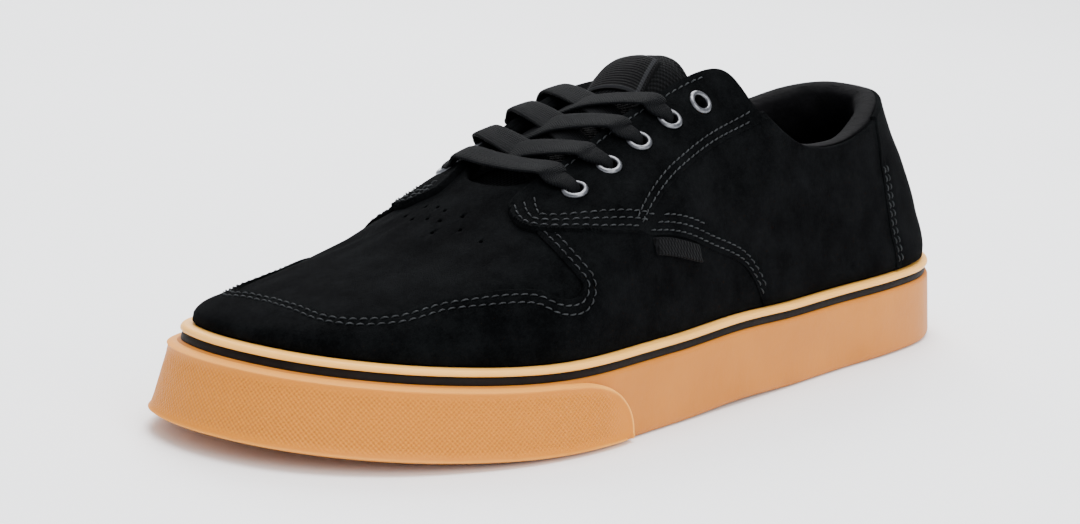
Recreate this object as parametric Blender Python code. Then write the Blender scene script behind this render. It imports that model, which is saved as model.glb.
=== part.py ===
"""Skateboarding shoe for the left foot, EU size 42, standing empty on its sole.

Metres, +X to the toe, +Y to the outer side, +Z up. The origin is on the floor, under the middle
of the shoe's box.
"""
import math
from collections import namedtuple

import bmesh
import bpy
import numpy as np
from mathutils import Matrix, Vector, geometry

# Driving sizes
LENGTH = 0.300
BALL_WIDTH = 0.109
COLLAR_WIDTH = 0.060
HEEL_HEIGHT = 0.0805
INSTEP_HEIGHT = 0.096
GUM_HEIGHT = 0.0212
PINSTRIPE_HEIGHT = 0.0026
STRIP_HEIGHT = 0.0026
TOE_SPRING = 0.0055
WAIST_RELIEF = 0.0008
HEEL_FLOOR = 0.012
BALL_FLOOR = 0.008
SIDE_LEAN = 0.002
TOE_LEAN = 0.0073
LEDGE_WIDTH = 0.0036
SOLE_ROUNDING = 0.0012
BUMPER_THICKNESS = 0.0010
WALL = 0.0020
RAND_THICKNESS = 0.0008
QUARTER_THICKNESS = 0.0013
EYESTAY_THICKNESS = 0.0017
COUNTER_THICKNESS = 0.0016
LINING_PAD = 0.0050
LINING_HEM = 0.0012
LINING_PROUD = 0.0014
LINING_RIM = 0.0008
INSOLE_HEEL = 0.0050
INSOLE_BALL = 0.0035
INSOLE_CUP = 0.0020
INSOLE_RIM = 0.0030
TONGUE_THICKNESS = 0.0050
TONGUE_RIM = 0.5
TONGUE_GAP = 0.0024
TONGUE_ARCH = 0.0045
TONGUE_TUCK = 0.0120
TONGUE_REACH = -0.0060
TONGUE_FRONT = 0.0400
TONGUE_END = 0.0540
TONGUE_SLOPE = -0.4
TONGUE_PUFF = 0.0100
PUFF_LENGTH = 0.0320
PUFF_BLEND = 0.0180
PUFF_POWER = 3.5
LABEL_THICKNESS = 0.0008
LABEL_GAP = 0.0004
TAB_THICKNESS = 0.0010
EYELETS = 5
EYELET_FIRST = 0.1930
EYELET_STEP = 0.0143
EYELET_INSET = 0.0115
EYELET_INSET_TOP = 0.0068
EYELET_RADIUS = 0.0033
EYELET_BORE = 0.0020
EYELET_METAL = 0.0005
EYELET_FLANGE = 0.0008
LACE_WIDTH = 0.0070
LACE_FLAT = 0.85
LACE_THICKNESS = 0.0012
LACE_LIFT = 0.0028
LACE_LOW = 0.0005
LACE_SINK = 0.75
LACE_TAIL = 0.0015
LACE_HIDDEN = 0.0020
BAR_FORWARD = 0.0010
FLAP_MARGIN = 0.0010
LACE_SLANT = 0.0015
SEAM_GAP = 0.0004
OVERLAY_GAP = 0.0005
STRIP_ROUNDING = 0.0006
GAP = 0.0003

TAB_SEAT = OVERLAY_GAP + RAND_THICKNESS + GAP
EYELET_SEAT = OVERLAY_GAP + EYESTAY_THICKNESS + GAP
FOXING_HEIGHT = GUM_HEIGHT + PINSTRIPE_HEIGHT + STRIP_HEIGHT + 2 * GAP

# One row for each section, from the middle of the heel along the outer side to the toe, and back
# along the inner side.
# station and edge_x: shares of LENGTH, at the sole's edge and at the opening's edge
# side: share of half BALL_WIDTH; edge_y: share of half COLLAR_WIDTH; outer side positive
# heel and instep: shares of HEEL_HEIGHT and INSTEP_HEIGHT that add up to the edge's height
# lift: how far the wall stands up before it turns, as a share of its rise
# slope: degrees that the wall falls from the opening's edge; reach: how far it keeps that slope
Section = namedtuple("Section", "station side edge_x edge_y heel instep lift slope reach")
SECTIONS = [
    Section(0.000, 0.000, 0.094, 0.00, 1.00, 0.00, 0.40, 70, 0.30),
    Section(0.025, 0.367, 0.103, 0.37, 0.995, 0.00, 0.40, 71, 0.30),
    Section(0.080, 0.605, 0.136, 0.68, 0.965, 0.00, 0.38, 74, 0.30),
    Section(0.160, 0.708, 0.188, 0.91, 0.905, 0.00, 0.36, 77, 0.30),
    Section(0.270, 0.761, 0.252, 1.00, 0.865, 0.00, 0.36, 79, 0.30),
    Section(0.380, 0.831, 0.312, 1.00, 0.89, 0.00, 0.40, 74, 0.30),
    Section(0.490, 0.893, 0.372, 0.92, 1.03, 0.00, 0.46, 60, 0.34),
    Section(0.600, 0.957, 0.408, 0.60, 0.00, 1.00, 0.52, 38, 0.40),
    Section(0.710, 1.009, 0.515, 0.53, 0.00, 0.91, 0.52, 34, 0.42),
    Section(0.800, 0.950, 0.600, 0.53, 0.00, 0.80, 0.50, 34, 0.42),
    Section(0.885, 0.760, 0.648, 0.49, 0.00, 0.735, 0.42, 36, 0.44),
    Section(0.945, 0.503, 0.670, 0.33, 0.00, 0.71, 0.34, 37, 0.46),
    Section(0.985, 0.171, 0.679, 0.14, 0.00, 0.703, 0.30, 38, 0.48),
    Section(1.000, -0.248, 0.681, -0.05, 0.00, 0.702, 0.28, 38, 0.48),
    Section(0.985, -0.626, 0.678, -0.22, 0.00, 0.703, 0.27, 40, 0.45),
    Section(0.945, -0.859, 0.668, -0.37, 0.00, 0.71, 0.27, 42, 0.42),
    Section(0.885, -0.978, 0.647, -0.49, 0.00, 0.735, 0.23, 44, 0.38),
    Section(0.800, -1.020, 0.600, -0.53, 0.00, 0.80, 0.25, 43, 0.36),
    Section(0.710, -0.969, 0.515, -0.55, 0.00, 0.895, 0.35, 39, 0.38),
    Section(0.610, -0.860, 0.408, -0.80, 0.00, 0.905, 0.46, 45, 0.38),
    Section(0.500, -0.734, 0.372, -0.92, 1.03, 0.00, 0.46, 60, 0.34),
    Section(0.380, -0.661, 0.312, -1.00, 0.89, 0.00, 0.40, 74, 0.30),
    Section(0.270, -0.651, 0.252, -1.00, 0.865, 0.00, 0.36, 79, 0.30),
    Section(0.160, -0.661, 0.188, -0.91, 0.905, 0.00, 0.36, 77, 0.30),
    Section(0.080, -0.578, 0.136, -0.68, 0.965, 0.00, 0.38, 74, 0.30),
    Section(0.025, -0.347, 0.103, -0.37, 0.995, 0.00, 0.40, 71, 0.30),
]
ROWS = len(SECTIONS)
TOE_ROW = ROWS // 2

# Where the sole starts to rise, and where its waist is raised, as stations
SPRING_FROM = 0.72
WAIST = (0.34, 0.56)
LEAN_FROM = 0.66

# How finely the faces follow the forms
SOLE_STEPS = 2
UPPER_STEPS = 2
UPPER_RINGS = 9
ROW_LENGTH = 0.020
WALL_LENGTH = 0.055
OVERLAY_SPACING = 0.0068
BUMPER_SPACING = 0.008
CORNER_TURN = 30
TONGUE_RUNS = 21
TONGUE_SPANS = 9
TONGUE_ROUND = 0.75
TONGUE_CORNER = 0.36
LABEL_RUNS = (16, 20)
LABEL_SPANS = (2, 6)
LINING_ROW = 5.5
LINING_RING = 3
EYELET_SIDES = 10
LACE_STEPS = 2
FLAP_ROW = 7
THROAT_STEP = 0.0005
THROAT_BLEND = 0.020


def along(table, u):
    """Catmull-Rom through the rows of a closed table, at row numbers u."""
    rows = np.asarray(table, float)
    u = np.asarray(u, float)
    first = np.floor(u).astype(int)
    t = (u - first)[..., None]
    a, b, c, d = (rows[(first + k) % len(rows)] for k in (-1, 0, 1, 2))
    bend = 2 * a - 5 * b + 4 * c - d
    return b + 0.5 * t * ((c - a) + t * (bend + t * (3 * (b - c) + d - a)))


def ease(value, start, end):
    """0 before start, 1 after end, and smooth between them."""
    t = np.clip((value - start) / (end - start), 0, 1)
    return t * t * (3 - 2 * t)


def ground(x):
    """Height of the sole's underside over the floor at a distance x from the heel."""
    station = x / LENGTH
    spring = TOE_SPRING * np.clip((station - SPRING_FROM) / (1 - SPRING_FROM), 0, 1) ** 1.6
    middle = sum(WAIST) / 2
    waist = ease(station, WAIST[0], middle) * (1 - ease(station, middle, WAIST[1]))
    return spring + WAIST_RELIEF * waist


def floor_thickness(x):
    return HEEL_FLOOR + (BALL_FLOOR - HEEL_FLOOR) * ease(x / LENGTH, 0.3, 0.65)


def outline(u):
    """The sole's edge seen from above, and the direction that points inwards from it."""
    table = [(s.station * LENGTH, s.side * BALL_WIDTH / 2) for s in SECTIONS]
    here = along(table, u)
    step = 0.05
    tangent = along(table, np.asarray(u) + step) - along(table, np.asarray(u) - step)
    tangent /= np.linalg.norm(tangent, axis=-1, keepdims=True)
    inwards = np.stack([tangent[..., 1], -tangent[..., 0]], -1)
    return here, inwards


def lean(u):
    """How far the sole's side leans in over its whole height."""
    here, _ = outline(u)
    return SIDE_LEAN + (TOE_LEAN - SIDE_LEAN) * ease(here[..., 0] / LENGTH, LEAN_FROM, 1.0)


def sole_ring(u, inset, height):
    """Points at an inset from the sole's edge and a height over its underside."""
    here, inwards = outline(u)
    plan = here + inwards * np.broadcast_to(inset, np.shape(u))[..., None]
    z = ground(here[..., 0]) + height
    return np.concatenate([plan, np.broadcast_to(z, np.shape(u))[..., None]], -1)


def feather_inset(u):
    return lean(u) + LEDGE_WIDTH


def wall(u, v):
    """The upper's outer face. v is 0 at the foxing, 1 at the opening's edge, -1 on the floor."""
    u, v = np.broadcast_arrays(np.asarray(u, float), np.asarray(v, float))
    foot = sole_ring(u, feather_inset(u), FOXING_HEIGHT + GAP)
    row = along(SECTIONS, u)
    half = COLLAR_WIDTH / 2
    height = row[..., 4] * HEEL_HEIGHT + row[..., 5] * INSTEP_HEIGHT
    edge = np.stack([row[..., 2] * LENGTH, row[..., 3] * half, height], -1)
    out = foot - edge
    out[..., 2] = 0
    out /= np.linalg.norm(out, axis=-1, keepdims=True)
    angle = np.radians(row[..., 7])[..., None]
    falling = out * np.cos(angle) - np.array([0, 0, 1.0]) * np.sin(angle)
    chord = np.linalg.norm(edge - foot, axis=-1, keepdims=True)
    rising = np.zeros_like(foot)
    rising[..., 2] = row[..., 6] * (edge - foot)[..., 2]
    low = foot + rising
    high = edge + falling * chord * row[..., 8:9]
    t = np.maximum(v, 0)[..., None]
    s = 1 - t
    point = s**3 * foot + 3 * s * s * t * low + 3 * s * t * t * high + t**3 * edge
    drop = FOXING_HEIGHT + GAP - floor_thickness(outline(u)[0][..., 0]) - GAP
    point[..., 2] += np.minimum(v, 0) * drop
    return point


def skin(u, v, offset):
    """The upper's outer face moved out along its own normal."""
    u, v = np.broadcast_arrays(np.asarray(u, float), np.asarray(v, float))
    step = 0.02
    across = wall(u + step, v) - wall(u - step, v)
    up = wall(u, v + step) - wall(u, v - step)
    normal = np.cross(up, across)
    normal /= np.linalg.norm(normal, axis=-1, keepdims=True)
    return wall(u, v) + normal * np.asarray(offset)[..., None]


# The pieces are made below: closed meshes between two skins, in one frame.
# Edges of the overlays, as rows and shares up the wall. The inner side mirrors the outer side.
Edge = namedtuple("Edge", "row share")
VAMP_EDGE = [
    Edge(9.12, 0.625),
    Edge(8.80, 0.515),
    Edge(8.44, 0.390),
    Edge(8.20, 0.300),
    Edge(8.05, 0.240),
    Edge(8.10, 0.200),
    Edge(8.35, 0.215),
    Edge(8.68, 0.280),
    Edge(9.00, 0.320),
    Edge(9.50, 0.350),
    Edge(10.10, 0.365),
    Edge(10.60, 0.315),
    Edge(11.20, 0.295),
    Edge(11.80, 0.310),
    Edge(12.40, 0.350),
    Edge(13.00, 0.370),
]
EYESTAY_LOWER = [
    Edge(10.55, 0.905),
    Edge(9.96, 0.800),
    Edge(9.20, 0.645),
    Edge(8.32, 0.495),
    Edge(7.33, 0.350),
]
EYESTAY_TIP = [Edge(9.95, 1.0), Edge(10.28, 0.975), Edge(10.52, 0.945), Edge(10.55, 0.905)]
EYESTAY_BACK = [
    Edge(7.33, 0.350),
    Edge(7.22, 0.445),
    Edge(7.07, 0.530),
    Edge(6.87, 0.610),
    Edge(6.62, 0.715),
    Edge(6.26, 0.850),
    Edge(5.85, 1.000),
]
QUARTER_LOWER = [
    Edge(7.33, 0.350),
    Edge(7.10, 0.320),
    Edge(6.44, 0.302),
    Edge(5.72, 0.230),
    Edge(5.42, 0.130),
    Edge(5.26, 0.000),
]
COUNTER_EDGE = [
    Edge(2.86, 0.000),
    Edge(2.87, 0.300),
    Edge(2.80, 0.600),
    Edge(2.62, 0.850),
    Edge(2.50, 1.000),
]
TAB_CORNERS = [Edge(7.14, 0.305), Edge(6.42, 0.288), Edge(6.34, 0.225), Edge(7.06, 0.250)]
BUMPER_END = [Edge(7.95, 1.00), Edge(7.62, 0.90), Edge(7.36, 0.66), Edge(7.26, 0.36), Edge(7.24, 0.0)]

MATERIALS = {
    "gum_rubber": ((0.72, 0.36, 0.15), 0.55),
    "cream_rubber": ((0.87, 0.62, 0.31), 0.50),
    "black_rubber": ((0.03, 0.025, 0.028), 0.50),
    "black_suede": ((0.012, 0.012, 0.014), 0.95),
    "black_lining": ((0.020, 0.020, 0.024), 0.60),
    "black_textile": ((0.025, 0.027, 0.031), 0.85),
    "black_lace": ((0.022, 0.024, 0.029), 0.80),
    "grey_metal": ((0.55, 0.56, 0.58), 0.30),
}
METALLIC = {"grey_metal": 1.0}


def material(name):
    found = bpy.data.materials.get(name)
    if found:
        return found
    made = bpy.data.materials.new(name)
    made.use_nodes = True
    shader = made.node_tree.nodes["Principled BSDF"]
    colour, roughness = MATERIALS[name]
    shader.inputs["Base Color"].default_value = (*colour, 1)
    shader.inputs["Roughness"].default_value = roughness
    shader.inputs["Metallic"].default_value = METALLIC.get(name, 0)
    return made


def place(name, finish, points, faces):
    """A mesh object from points and faces, with its faces turned outwards."""
    mesh = bpy.data.meshes.new(name)
    mesh.from_pydata([tuple(p) for p in points], [], [tuple(f) for f in faces])
    form = bmesh.new()
    form.from_mesh(mesh)
    bmesh.ops.recalc_face_normals(form, faces=form.faces)
    if form.calc_volume(signed=True) < 0:
        bmesh.ops.reverse_faces(form, faces=form.faces)
    form.to_mesh(mesh)
    form.free()
    mesh.shade_smooth()
    mesh.set_sharp_from_angle(angle=math.radians(40))
    mesh.materials.append(material(finish))
    thing = bpy.data.objects.new(name, mesh)
    bpy.context.scene.collection.objects.link(thing)
    return thing


def ring_faces(rings, count, closed):
    """Quads between each ring of points and the next, and back to the first where closed."""
    faces = []
    for r in range(rings if closed else rings - 1):
        below, above = r * count, (r + 1) % rings * count
        for i in range(count):
            j = (i + 1) % count
            faces.append((below + i, below + j, above + j, above + i))
    return faces


def cap_faces(start, count):
    """Strips across a ring that starts at its heel point, from side to side."""
    half = count // 2
    faces = [(start, start + 1, start + count - 1)]
    for i in range(1, half - 1):
        faces.append((start + i, start + i + 1, start + count - i - 1, start + count - i))
    faces.append((start + half - 1, start + half, start + half + 1))
    return faces


def band(name, finish, rings):
    """A closed band around the shoe: the rings are the corners of its section, in order."""
    return place(name, finish, np.concatenate(rings), ring_faces(len(rings), len(rings[0]), True))


def capped(name, finish, rings):
    """A solid from its lowest ring to its highest, closed across both."""
    count = len(rings[0])
    faces = ring_faces(len(rings), count, False)
    faces += cap_faces(0, count) + cap_faces((len(rings) - 1) * count, count)
    return place(name, finish, np.concatenate(rings), faces)


def slab(name, finish, outer, inner):
    """A solid between two grids of points that have the same rows and columns."""
    rows, columns = outer.shape[:2]
    points = np.concatenate([outer.reshape(-1, 3), inner.reshape(-1, 3)])
    index = np.arange(rows * columns).reshape(rows, columns)
    shift = rows * columns
    faces = []
    for r in range(rows - 1):
        for c in range(columns - 1):
            quad = (index[r, c], index[r, c + 1], index[r + 1, c + 1], index[r + 1, c])
            faces.append(quad)
            faces.append(tuple(k + shift for k in reversed(quad)))
    rim = list(index[0, :-1]) + list(index[:-1, -1]) + list(index[-1, :0:-1]) + list(index[:0:-1, 0])
    for a, b in zip(rim, rim[1:] + rim[:1]):
        faces.append((b, a, a + shift, b + shift))
    return place(name, finish, points, faces)


def open_curve(rows, steps=6):
    """Catmull-Rom through the rows of an open table."""
    rows = np.asarray(rows, float)
    padded = np.vstack([2 * rows[0] - rows[1], rows, 2 * rows[-1] - rows[-2]])
    places = np.linspace(1, len(rows), (len(rows) - 1) * steps + 1)
    return along(padded, np.minimum(places, len(rows) - 1e-9))


def mirrored(rows):
    """The same edge on the shoe's inner side, run the other way."""
    rows = np.asarray(rows, float)[::-1].copy()
    rows[:, 0] = ROWS - rows[:, 0]
    return rows


def joined(*edges):
    """One closed boundary from edges that follow each other, without doubled corners."""
    return np.concatenate([np.asarray(edge, float)[:-1] for edge in edges])


def spaced(boundary, spacing, scale):
    """The boundary with points about a spacing apart, measured in metres."""
    closed = np.vstack([boundary, boundary[:1]])
    run = np.append(0, np.cumsum(np.linalg.norm(np.diff(closed * scale, axis=0), axis=1)))
    count = max(8, round(run[-1] / spacing))
    at = np.linspace(0, run[-1], count, endpoint=False)
    corners = run[:-1][turns(boundary * scale) > CORNER_TURN]
    for corner in corners:
        nearest = np.abs(at - corner).argmin()
        at[nearest] = corner
    return np.stack([np.interp(at, run, closed[:, k]) for k in range(2)], -1)


def turns(points):
    """How sharply a closed line of points turns at each of them, in degrees."""
    before = points - np.roll(points, 1, 0)
    after = np.roll(points, -1, 0) - points
    angle = np.arctan2(after[:, 1], after[:, 0]) - np.arctan2(before[:, 1], before[:, 0])
    return np.degrees(np.abs((angle + np.pi) % (2 * np.pi) - np.pi))


def plate(name, finish, boundary, surface, low, high, scale, spacing):
    """A plate of any outline, between two offsets of a surface that takes (u, v, offset)."""
    edge = spaced(boundary, spacing, scale)
    middle = inside_points(edge, spacing, scale)
    flat = np.vstack([edge, middle]) * scale
    count = len(edge)
    ring = [(i, (i + 1) % count) for i in range(count)]
    found = geometry.delaunay_2d_cdt([Vector(p) for p in flat], ring, [list(range(count))], 1, 1e-7)
    places = np.array([tuple(p) for p in found[0]]) / scale
    triangles = [tuple(f) for f in found[2]]
    shift = len(places)
    points = np.concatenate([surface(places[:, 0], places[:, 1], level) for level in (low, high)])
    faces = [tuple(k + shift for k in f) for f in triangles]
    faces += [tuple(reversed(f)) for f in triangles]
    faces += [(a, b, b + shift, a + shift) for a, b in ring]
    return place(name, finish, points, faces)


def inside_points(edge, spacing, scale):
    """A grid of places inside a boundary, clear of its edge."""
    low = edge.min(0)
    high = edge.max(0)
    counts = np.maximum(2, np.round((high - low) * scale / spacing)).astype(int)
    grids = np.meshgrid(*(np.linspace(low[k], high[k], counts[k] + 1) for k in range(2)))
    places = np.stack([g.ravel() for g in grids], -1)
    clear = np.linalg.norm((places[:, None] - edge[None]) * scale, axis=-1).min(1) > 0.6 * spacing
    within = np.zeros(len(places), bool)
    for a, b in zip(edge, np.roll(edge, -1, 0)):
        spans = (a[1] > places[:, 1]) != (b[1] > places[:, 1])
        slope = (b[0] - a[0]) / (b[1] - a[1]) if b[1] != a[1] else 0
        within ^= spans & (places[:, 0] < a[0] + slope * (places[:, 1] - a[1]))
    return places[clear & within]


def inset(boundary, distance, scale):
    """The boundary drawn in by a distance in metres, so that neighbours keep a gap."""
    points = boundary * scale
    ahead = np.roll(points, -1, 0) - np.roll(points, 1, 0)
    ahead /= np.linalg.norm(ahead, axis=-1, keepdims=True)
    turned = np.stack([-ahead[:, 1], ahead[:, 0]], -1)
    x, y = points.T
    area = np.sum(x * np.roll(y, -1) - y * np.roll(x, -1))
    return (points + np.sign(area) * distance * turned) / scale


def make_sole():
    """The gum cup, the toe bumper on it and the two strips over it."""
    u = np.arange(0, ROWS, 1 / SOLE_STEPS)
    side = lean(u) / FOXING_HEIGHT
    inner = feather_inset(u) - GAP
    shoulder = GUM_HEIGHT - SOLE_ROUNDING
    capped("outsole", "gum_rubber", [
        sole_ring(u, SOLE_ROUNDING, 0),
        sole_ring(u, side * SOLE_ROUNDING, SOLE_ROUNDING),
        sole_ring(u, side * shoulder, shoulder),
        sole_ring(u, side * GUM_HEIGHT + SOLE_ROUNDING, GUM_HEIGHT),
        sole_ring(u, inner, GUM_HEIGHT),
        sole_ring(u, inner, floor_thickness(outline(u)[0][:, 0])),
    ])
    low = GUM_HEIGHT + GAP
    high = low + PINSTRIPE_HEIGHT
    outer = side * GUM_HEIGHT + SOLE_ROUNDING
    band("pinstripe", "black_rubber", [
        sole_ring(u, outer, low),
        sole_ring(u, outer, high),
        sole_ring(u, inner, high),
        sole_ring(u, inner, low),
    ])
    low = high + GAP
    high = low + STRIP_HEIGHT
    outer = side * FOXING_HEIGHT
    band("top_strip", "cream_rubber", [
        sole_ring(u, outer + STRIP_ROUNDING, low),
        sole_ring(u, outer, (low + high) / 2),
        sole_ring(u, outer + STRIP_ROUNDING, high),
        sole_ring(u, inner, high),
        sole_ring(u, inner, low),
    ])
    ends = open_curve(BUMPER_END)
    boundary = joined(ends, [ends[-1], (ROWS - ends[-1, 0], 0)], mirrored(ends),
                      [(ROWS - ends[0, 0], 1), ends[0]])
    scale = np.array([ROW_LENGTH, GUM_HEIGHT])
    plate("toe_bumper", "gum_rubber", boundary, gum_side, GAP, GAP + BUMPER_THICKNESS,
          scale, BUMPER_SPACING)


def gum_side(u, share, offset):
    """The gum wall's outer face between its roundings, moved out by an offset."""
    height = SOLE_ROUNDING + share * (GUM_HEIGHT - 2 * SOLE_ROUNDING)
    return sole_ring(u, lean(u) * height / FOXING_HEIGHT - offset, height)


def make_upper():
    """One hollow wall, from the sole's floor to the opening."""
    u = np.arange(0, ROWS, 1 / UPPER_STEPS)
    shares = [-1.0, *np.linspace(0, 1, UPPER_RINGS)]
    outer = [skin(u, share, 0.0) for share in shares]
    inner = [skin(u, share, -WALL) for share in reversed(shares)]
    return band("upper", "black_suede", outer + inner)


def make_overlays():
    """The toe rand, eyestays, quarters and heel counter, each on the wall's outer face."""
    scale = np.array([ROW_LENGTH, WALL_LENGTH])
    vamp = open_curve(VAMP_EDGE)
    lower = open_curve(QUARTER_LOWER)
    tip = open_curve(EYESTAY_TIP)
    stay = open_curve(EYESTAY_LOWER)
    back = open_curve(EYESTAY_BACK)
    counter = open_curve(COUNTER_EDGE)
    low_stay = stay[stay[:, 0] < VAMP_EDGE[0].row]
    under = np.vstack([lower[::-1], low_stay[::-1][1:], vamp[:1]])
    rand = joined(under, vamp, mirrored(vamp), mirrored(under), [(ROWS - under[0, 0], 0), under[0]])
    quarter = joined(lower, [lower[-1], counter[0]], counter, [counter[-1], back[-1]], back[::-1])
    eyestay = joined(tip, stay, back, [back[-1], tip[0]])
    around = mirrored(counter) - (ROWS, 0)
    heel = joined(counter, [counter[-1], around[0]], around, [around[-1], counter[0]])
    shapes = [
        ("toe_rand", rand, RAND_THICKNESS),
        ("heel_counter", heel, COUNTER_THICKNESS),
    ]
    for side, flip in (("outer", False), ("inner", True)):
        for name, boundary, thickness in (
            ("quarter", quarter, QUARTER_THICKNESS),
            ("eyestay", eyestay, EYESTAY_THICKNESS),
        ):
            shapes.append((f"{name}_{side}", mirrored(boundary) if flip else boundary, thickness))
    made = {}
    for name, boundary, thickness in shapes:
        boundary = inset(spaced(boundary, OVERLAY_SPACING / 2, scale), SEAM_GAP / 2, scale)
        made[name] = plate(name, "black_suede", boundary, skin, OVERLAY_GAP, OVERLAY_GAP + thickness, scale,
                           OVERLAY_SPACING)
    plate("side_tab", "black_textile", np.array(TAB_CORNERS), skin, TAB_SEAT, TAB_SEAT + TAB_THICKNESS,
          scale, OVERLAY_SPACING)
    return made


def over_plan(x, y):
    """Row and share of the wall's place above a plan point, by Newton's steps from a near one."""
    rows, shares = np.meshgrid(np.linspace(FLAP_ROW, ROWS - FLAP_ROW, 120), np.linspace(0.3, 1, 25))
    known = wall(rows, shares)[..., :2].reshape(-1, 2)
    aim = np.stack(np.broadcast_arrays(x, y), -1)
    near = np.linalg.norm(aim[..., None, :] - known, axis=-1).argmin(-1)
    u, v = rows.ravel()[near], shares.ravel()[near]
    step = 1e-3
    for _ in range(4):
        here = wall(u, v)[..., :2]
        by_u = (wall(u + step, v)[..., :2] - here) / step
        by_v = (wall(u, v + step)[..., :2] - here) / step
        miss = aim - here
        size = by_u[..., 0] * by_v[..., 1] - by_u[..., 1] * by_v[..., 0]
        u = u + np.clip((miss[..., 0] * by_v[..., 1] - miss[..., 1] * by_v[..., 0]) / size, -0.3, 0.3)
        v = v + np.clip((by_u[..., 0] * miss[..., 1] - by_u[..., 1] * miss[..., 0]) / size, -0.1, 0.1)
    return u, v


def underside(u, v):
    """Height at which a piece lies clear under the wall."""
    rise = (skin(u, v, 1.0) - wall(u, v))[..., 2]
    return wall(u, v)[..., 2] - (WALL + TONGUE_GAP) / rise


def throat(x, side):
    """The opening's half width at x, and the height clear under its edge; side is 1 or -1."""
    rows = np.linspace(FLAP_ROW, TOE_ROW, 80)
    rows = rows if side > 0 else ROWS - rows
    edge = wall(rows, 1.0)
    return np.interp(x, edge[:, 0], side * edge[:, 1]), np.interp(x, edge[:, 0], underside(rows, 1.0))


def tongue_top(x, y):
    """Height of the tongue's outer face: under the wall, and arched across the open throat."""
    front = wall(float(TOE_ROW), 1.0)[0]
    flap = wall(float(FLAP_ROW), 1.0)[0]
    beyond = np.maximum(flap - x, 0)
    x = np.maximum(x, flap + THROAT_STEP)
    u, v = over_plan(x, y)
    under = underside(u, np.minimum(v, 1))
    left, left_height = throat(x, 1)
    right, right_height = throat(x, -1)
    share = (y + right) / np.maximum(left + right, THROAT_STEP)
    arch = TONGUE_ARCH * 4 * share * (1 - share) * ease(front - x, 0, THROAT_BLEND)
    puff = TONGUE_PUFF * (1 - np.abs(2 * share - 1) ** PUFF_POWER) * ease(flap + PUFF_LENGTH - x, 0, PUFF_BLEND)
    open_height = right_height + (left_height - right_height) * share + arch + puff
    inside = (share > 0) & (share < 1) & (x < front)
    return np.where(inside, open_height, under) + beyond * TONGUE_SLOPE


def tongue_face(along_share, across_share):
    """Points of the tongue's outer face; along 0 under the vamp to 1 at its free end."""
    front = wall(float(TOE_ROW), 1.0)[0] + TONGUE_TUCK
    end = wall(float(FLAP_ROW), 1.0)[0] - TONGUE_REACH
    x = front + (end - front) * along_share
    width = TONGUE_FRONT + (TONGUE_END - TONGUE_FRONT) * along_share
    corner = np.clip((np.abs(2 * along_share - 1) - TONGUE_ROUND) / (1 - TONGUE_ROUND), 0, 1)
    y = across_share * width / 2 * (1 - TONGUE_CORNER * corner**2)
    return np.stack([x, y, tongue_top(x, y)], -1)


def grid_normals(grid):
    """The upward normals of a grid of points."""
    normal = np.cross(np.gradient(grid, axis=0), np.gradient(grid, axis=1))
    normal /= np.linalg.norm(normal, axis=-1, keepdims=True)
    return normal * np.sign(normal[..., 2:3])


def make_tongue():
    """The padded tongue, and the bare label on its free end."""
    runs, spans = np.meshgrid(np.linspace(0, 1, TONGUE_RUNS), np.linspace(-1, 1, TONGUE_SPANS),
                              indexing="ij")
    top = tongue_face(runs, spans)
    pad = 1 - (1 - TONGUE_RIM) * np.abs(spans) ** 3
    below = top - grid_normals(top) * (TONGUE_THICKNESS * pad)[..., None]
    slab("tongue", "black_textile", top, below)
    patch = (slice(*LABEL_RUNS), slice(*LABEL_SPANS))
    face = top[patch]
    normal = grid_normals(top)[patch]
    slab("tongue_label", "black_textile", face + normal * (LABEL_THICKNESS + LABEL_GAP),
         face + normal * LABEL_GAP)


def make_lining():
    """The padded collar inside the wall, from front corner to front corner around the heel."""
    rows = np.arange(-LINING_ROW, LINING_ROW + 0.1, 1 / UPPER_STEPS)
    shares = np.append(np.linspace(0, 1, UPPER_RINGS)[LINING_RING:], 1 + LINING_PROUD / WALL_LENGTH)
    u, v = np.meshgrid(rows, shares)
    height = (v - shares[0]) / (1 - shares[0])
    pad = LINING_HEM + (LINING_PAD - LINING_HEM) * ease(height, 0, 0.7)
    rim = np.where(v > 1, LINING_RIM, 0)
    outer = skin(u, v, -(WALL + GAP + rim))
    inner = skin(u, v, -(WALL + GAP + pad - rim))
    return slab("collar_lining", "black_lining", outer, inner)


def make_insole():
    """The footbed on the sole's floor, inside the upper, with its edge turned up at the heel."""
    u = np.arange(0, ROWS, 1 / SOLE_STEPS)
    here = outline(u)[0][:, 0]
    edge = feather_inset(u) + WALL + GAP
    low = floor_thickness(here) + GAP
    thick = INSOLE_HEEL + (INSOLE_BALL - INSOLE_HEEL) * ease(here / LENGTH, 0.35, 0.6)
    rim = INSOLE_CUP * (1 - ease(here / LENGTH, 0.45, 0.65))
    capped("insole", "black_textile", [
        sole_ring(u, edge, low),
        sole_ring(u, edge, low + thick + rim),
        sole_ring(u, edge + INSOLE_RIM, low + thick + rim),
        sole_ring(u, edge + 3 * INSOLE_RIM, low + thick),
    ])


def eyelet_places():
    """Row and share on the outer side of each eyelet, from the front one up."""
    x = EYELET_FIRST - EYELET_STEP * np.arange(EYELETS)
    return over_plan(x, throat(x, 1)[0] + np.linspace(EYELET_INSET, EYELET_INSET_TOP, EYELETS))


def upright(u, v):
    """The wall's outward normal."""
    normal = skin(u, v, 1.0) - wall(u, v)
    return Vector(normal)


def turned_piece(name, profile, steps):
    """A ring turned about Z from a closed profile of radius and height."""
    angle = 2 * math.pi * np.arange(steps) / steps
    rings = [np.stack([r * np.cos(angle), r * np.sin(angle), np.full(steps, z)], -1)
             for r, z in profile]
    return band(name, "grey_metal", rings)


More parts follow.
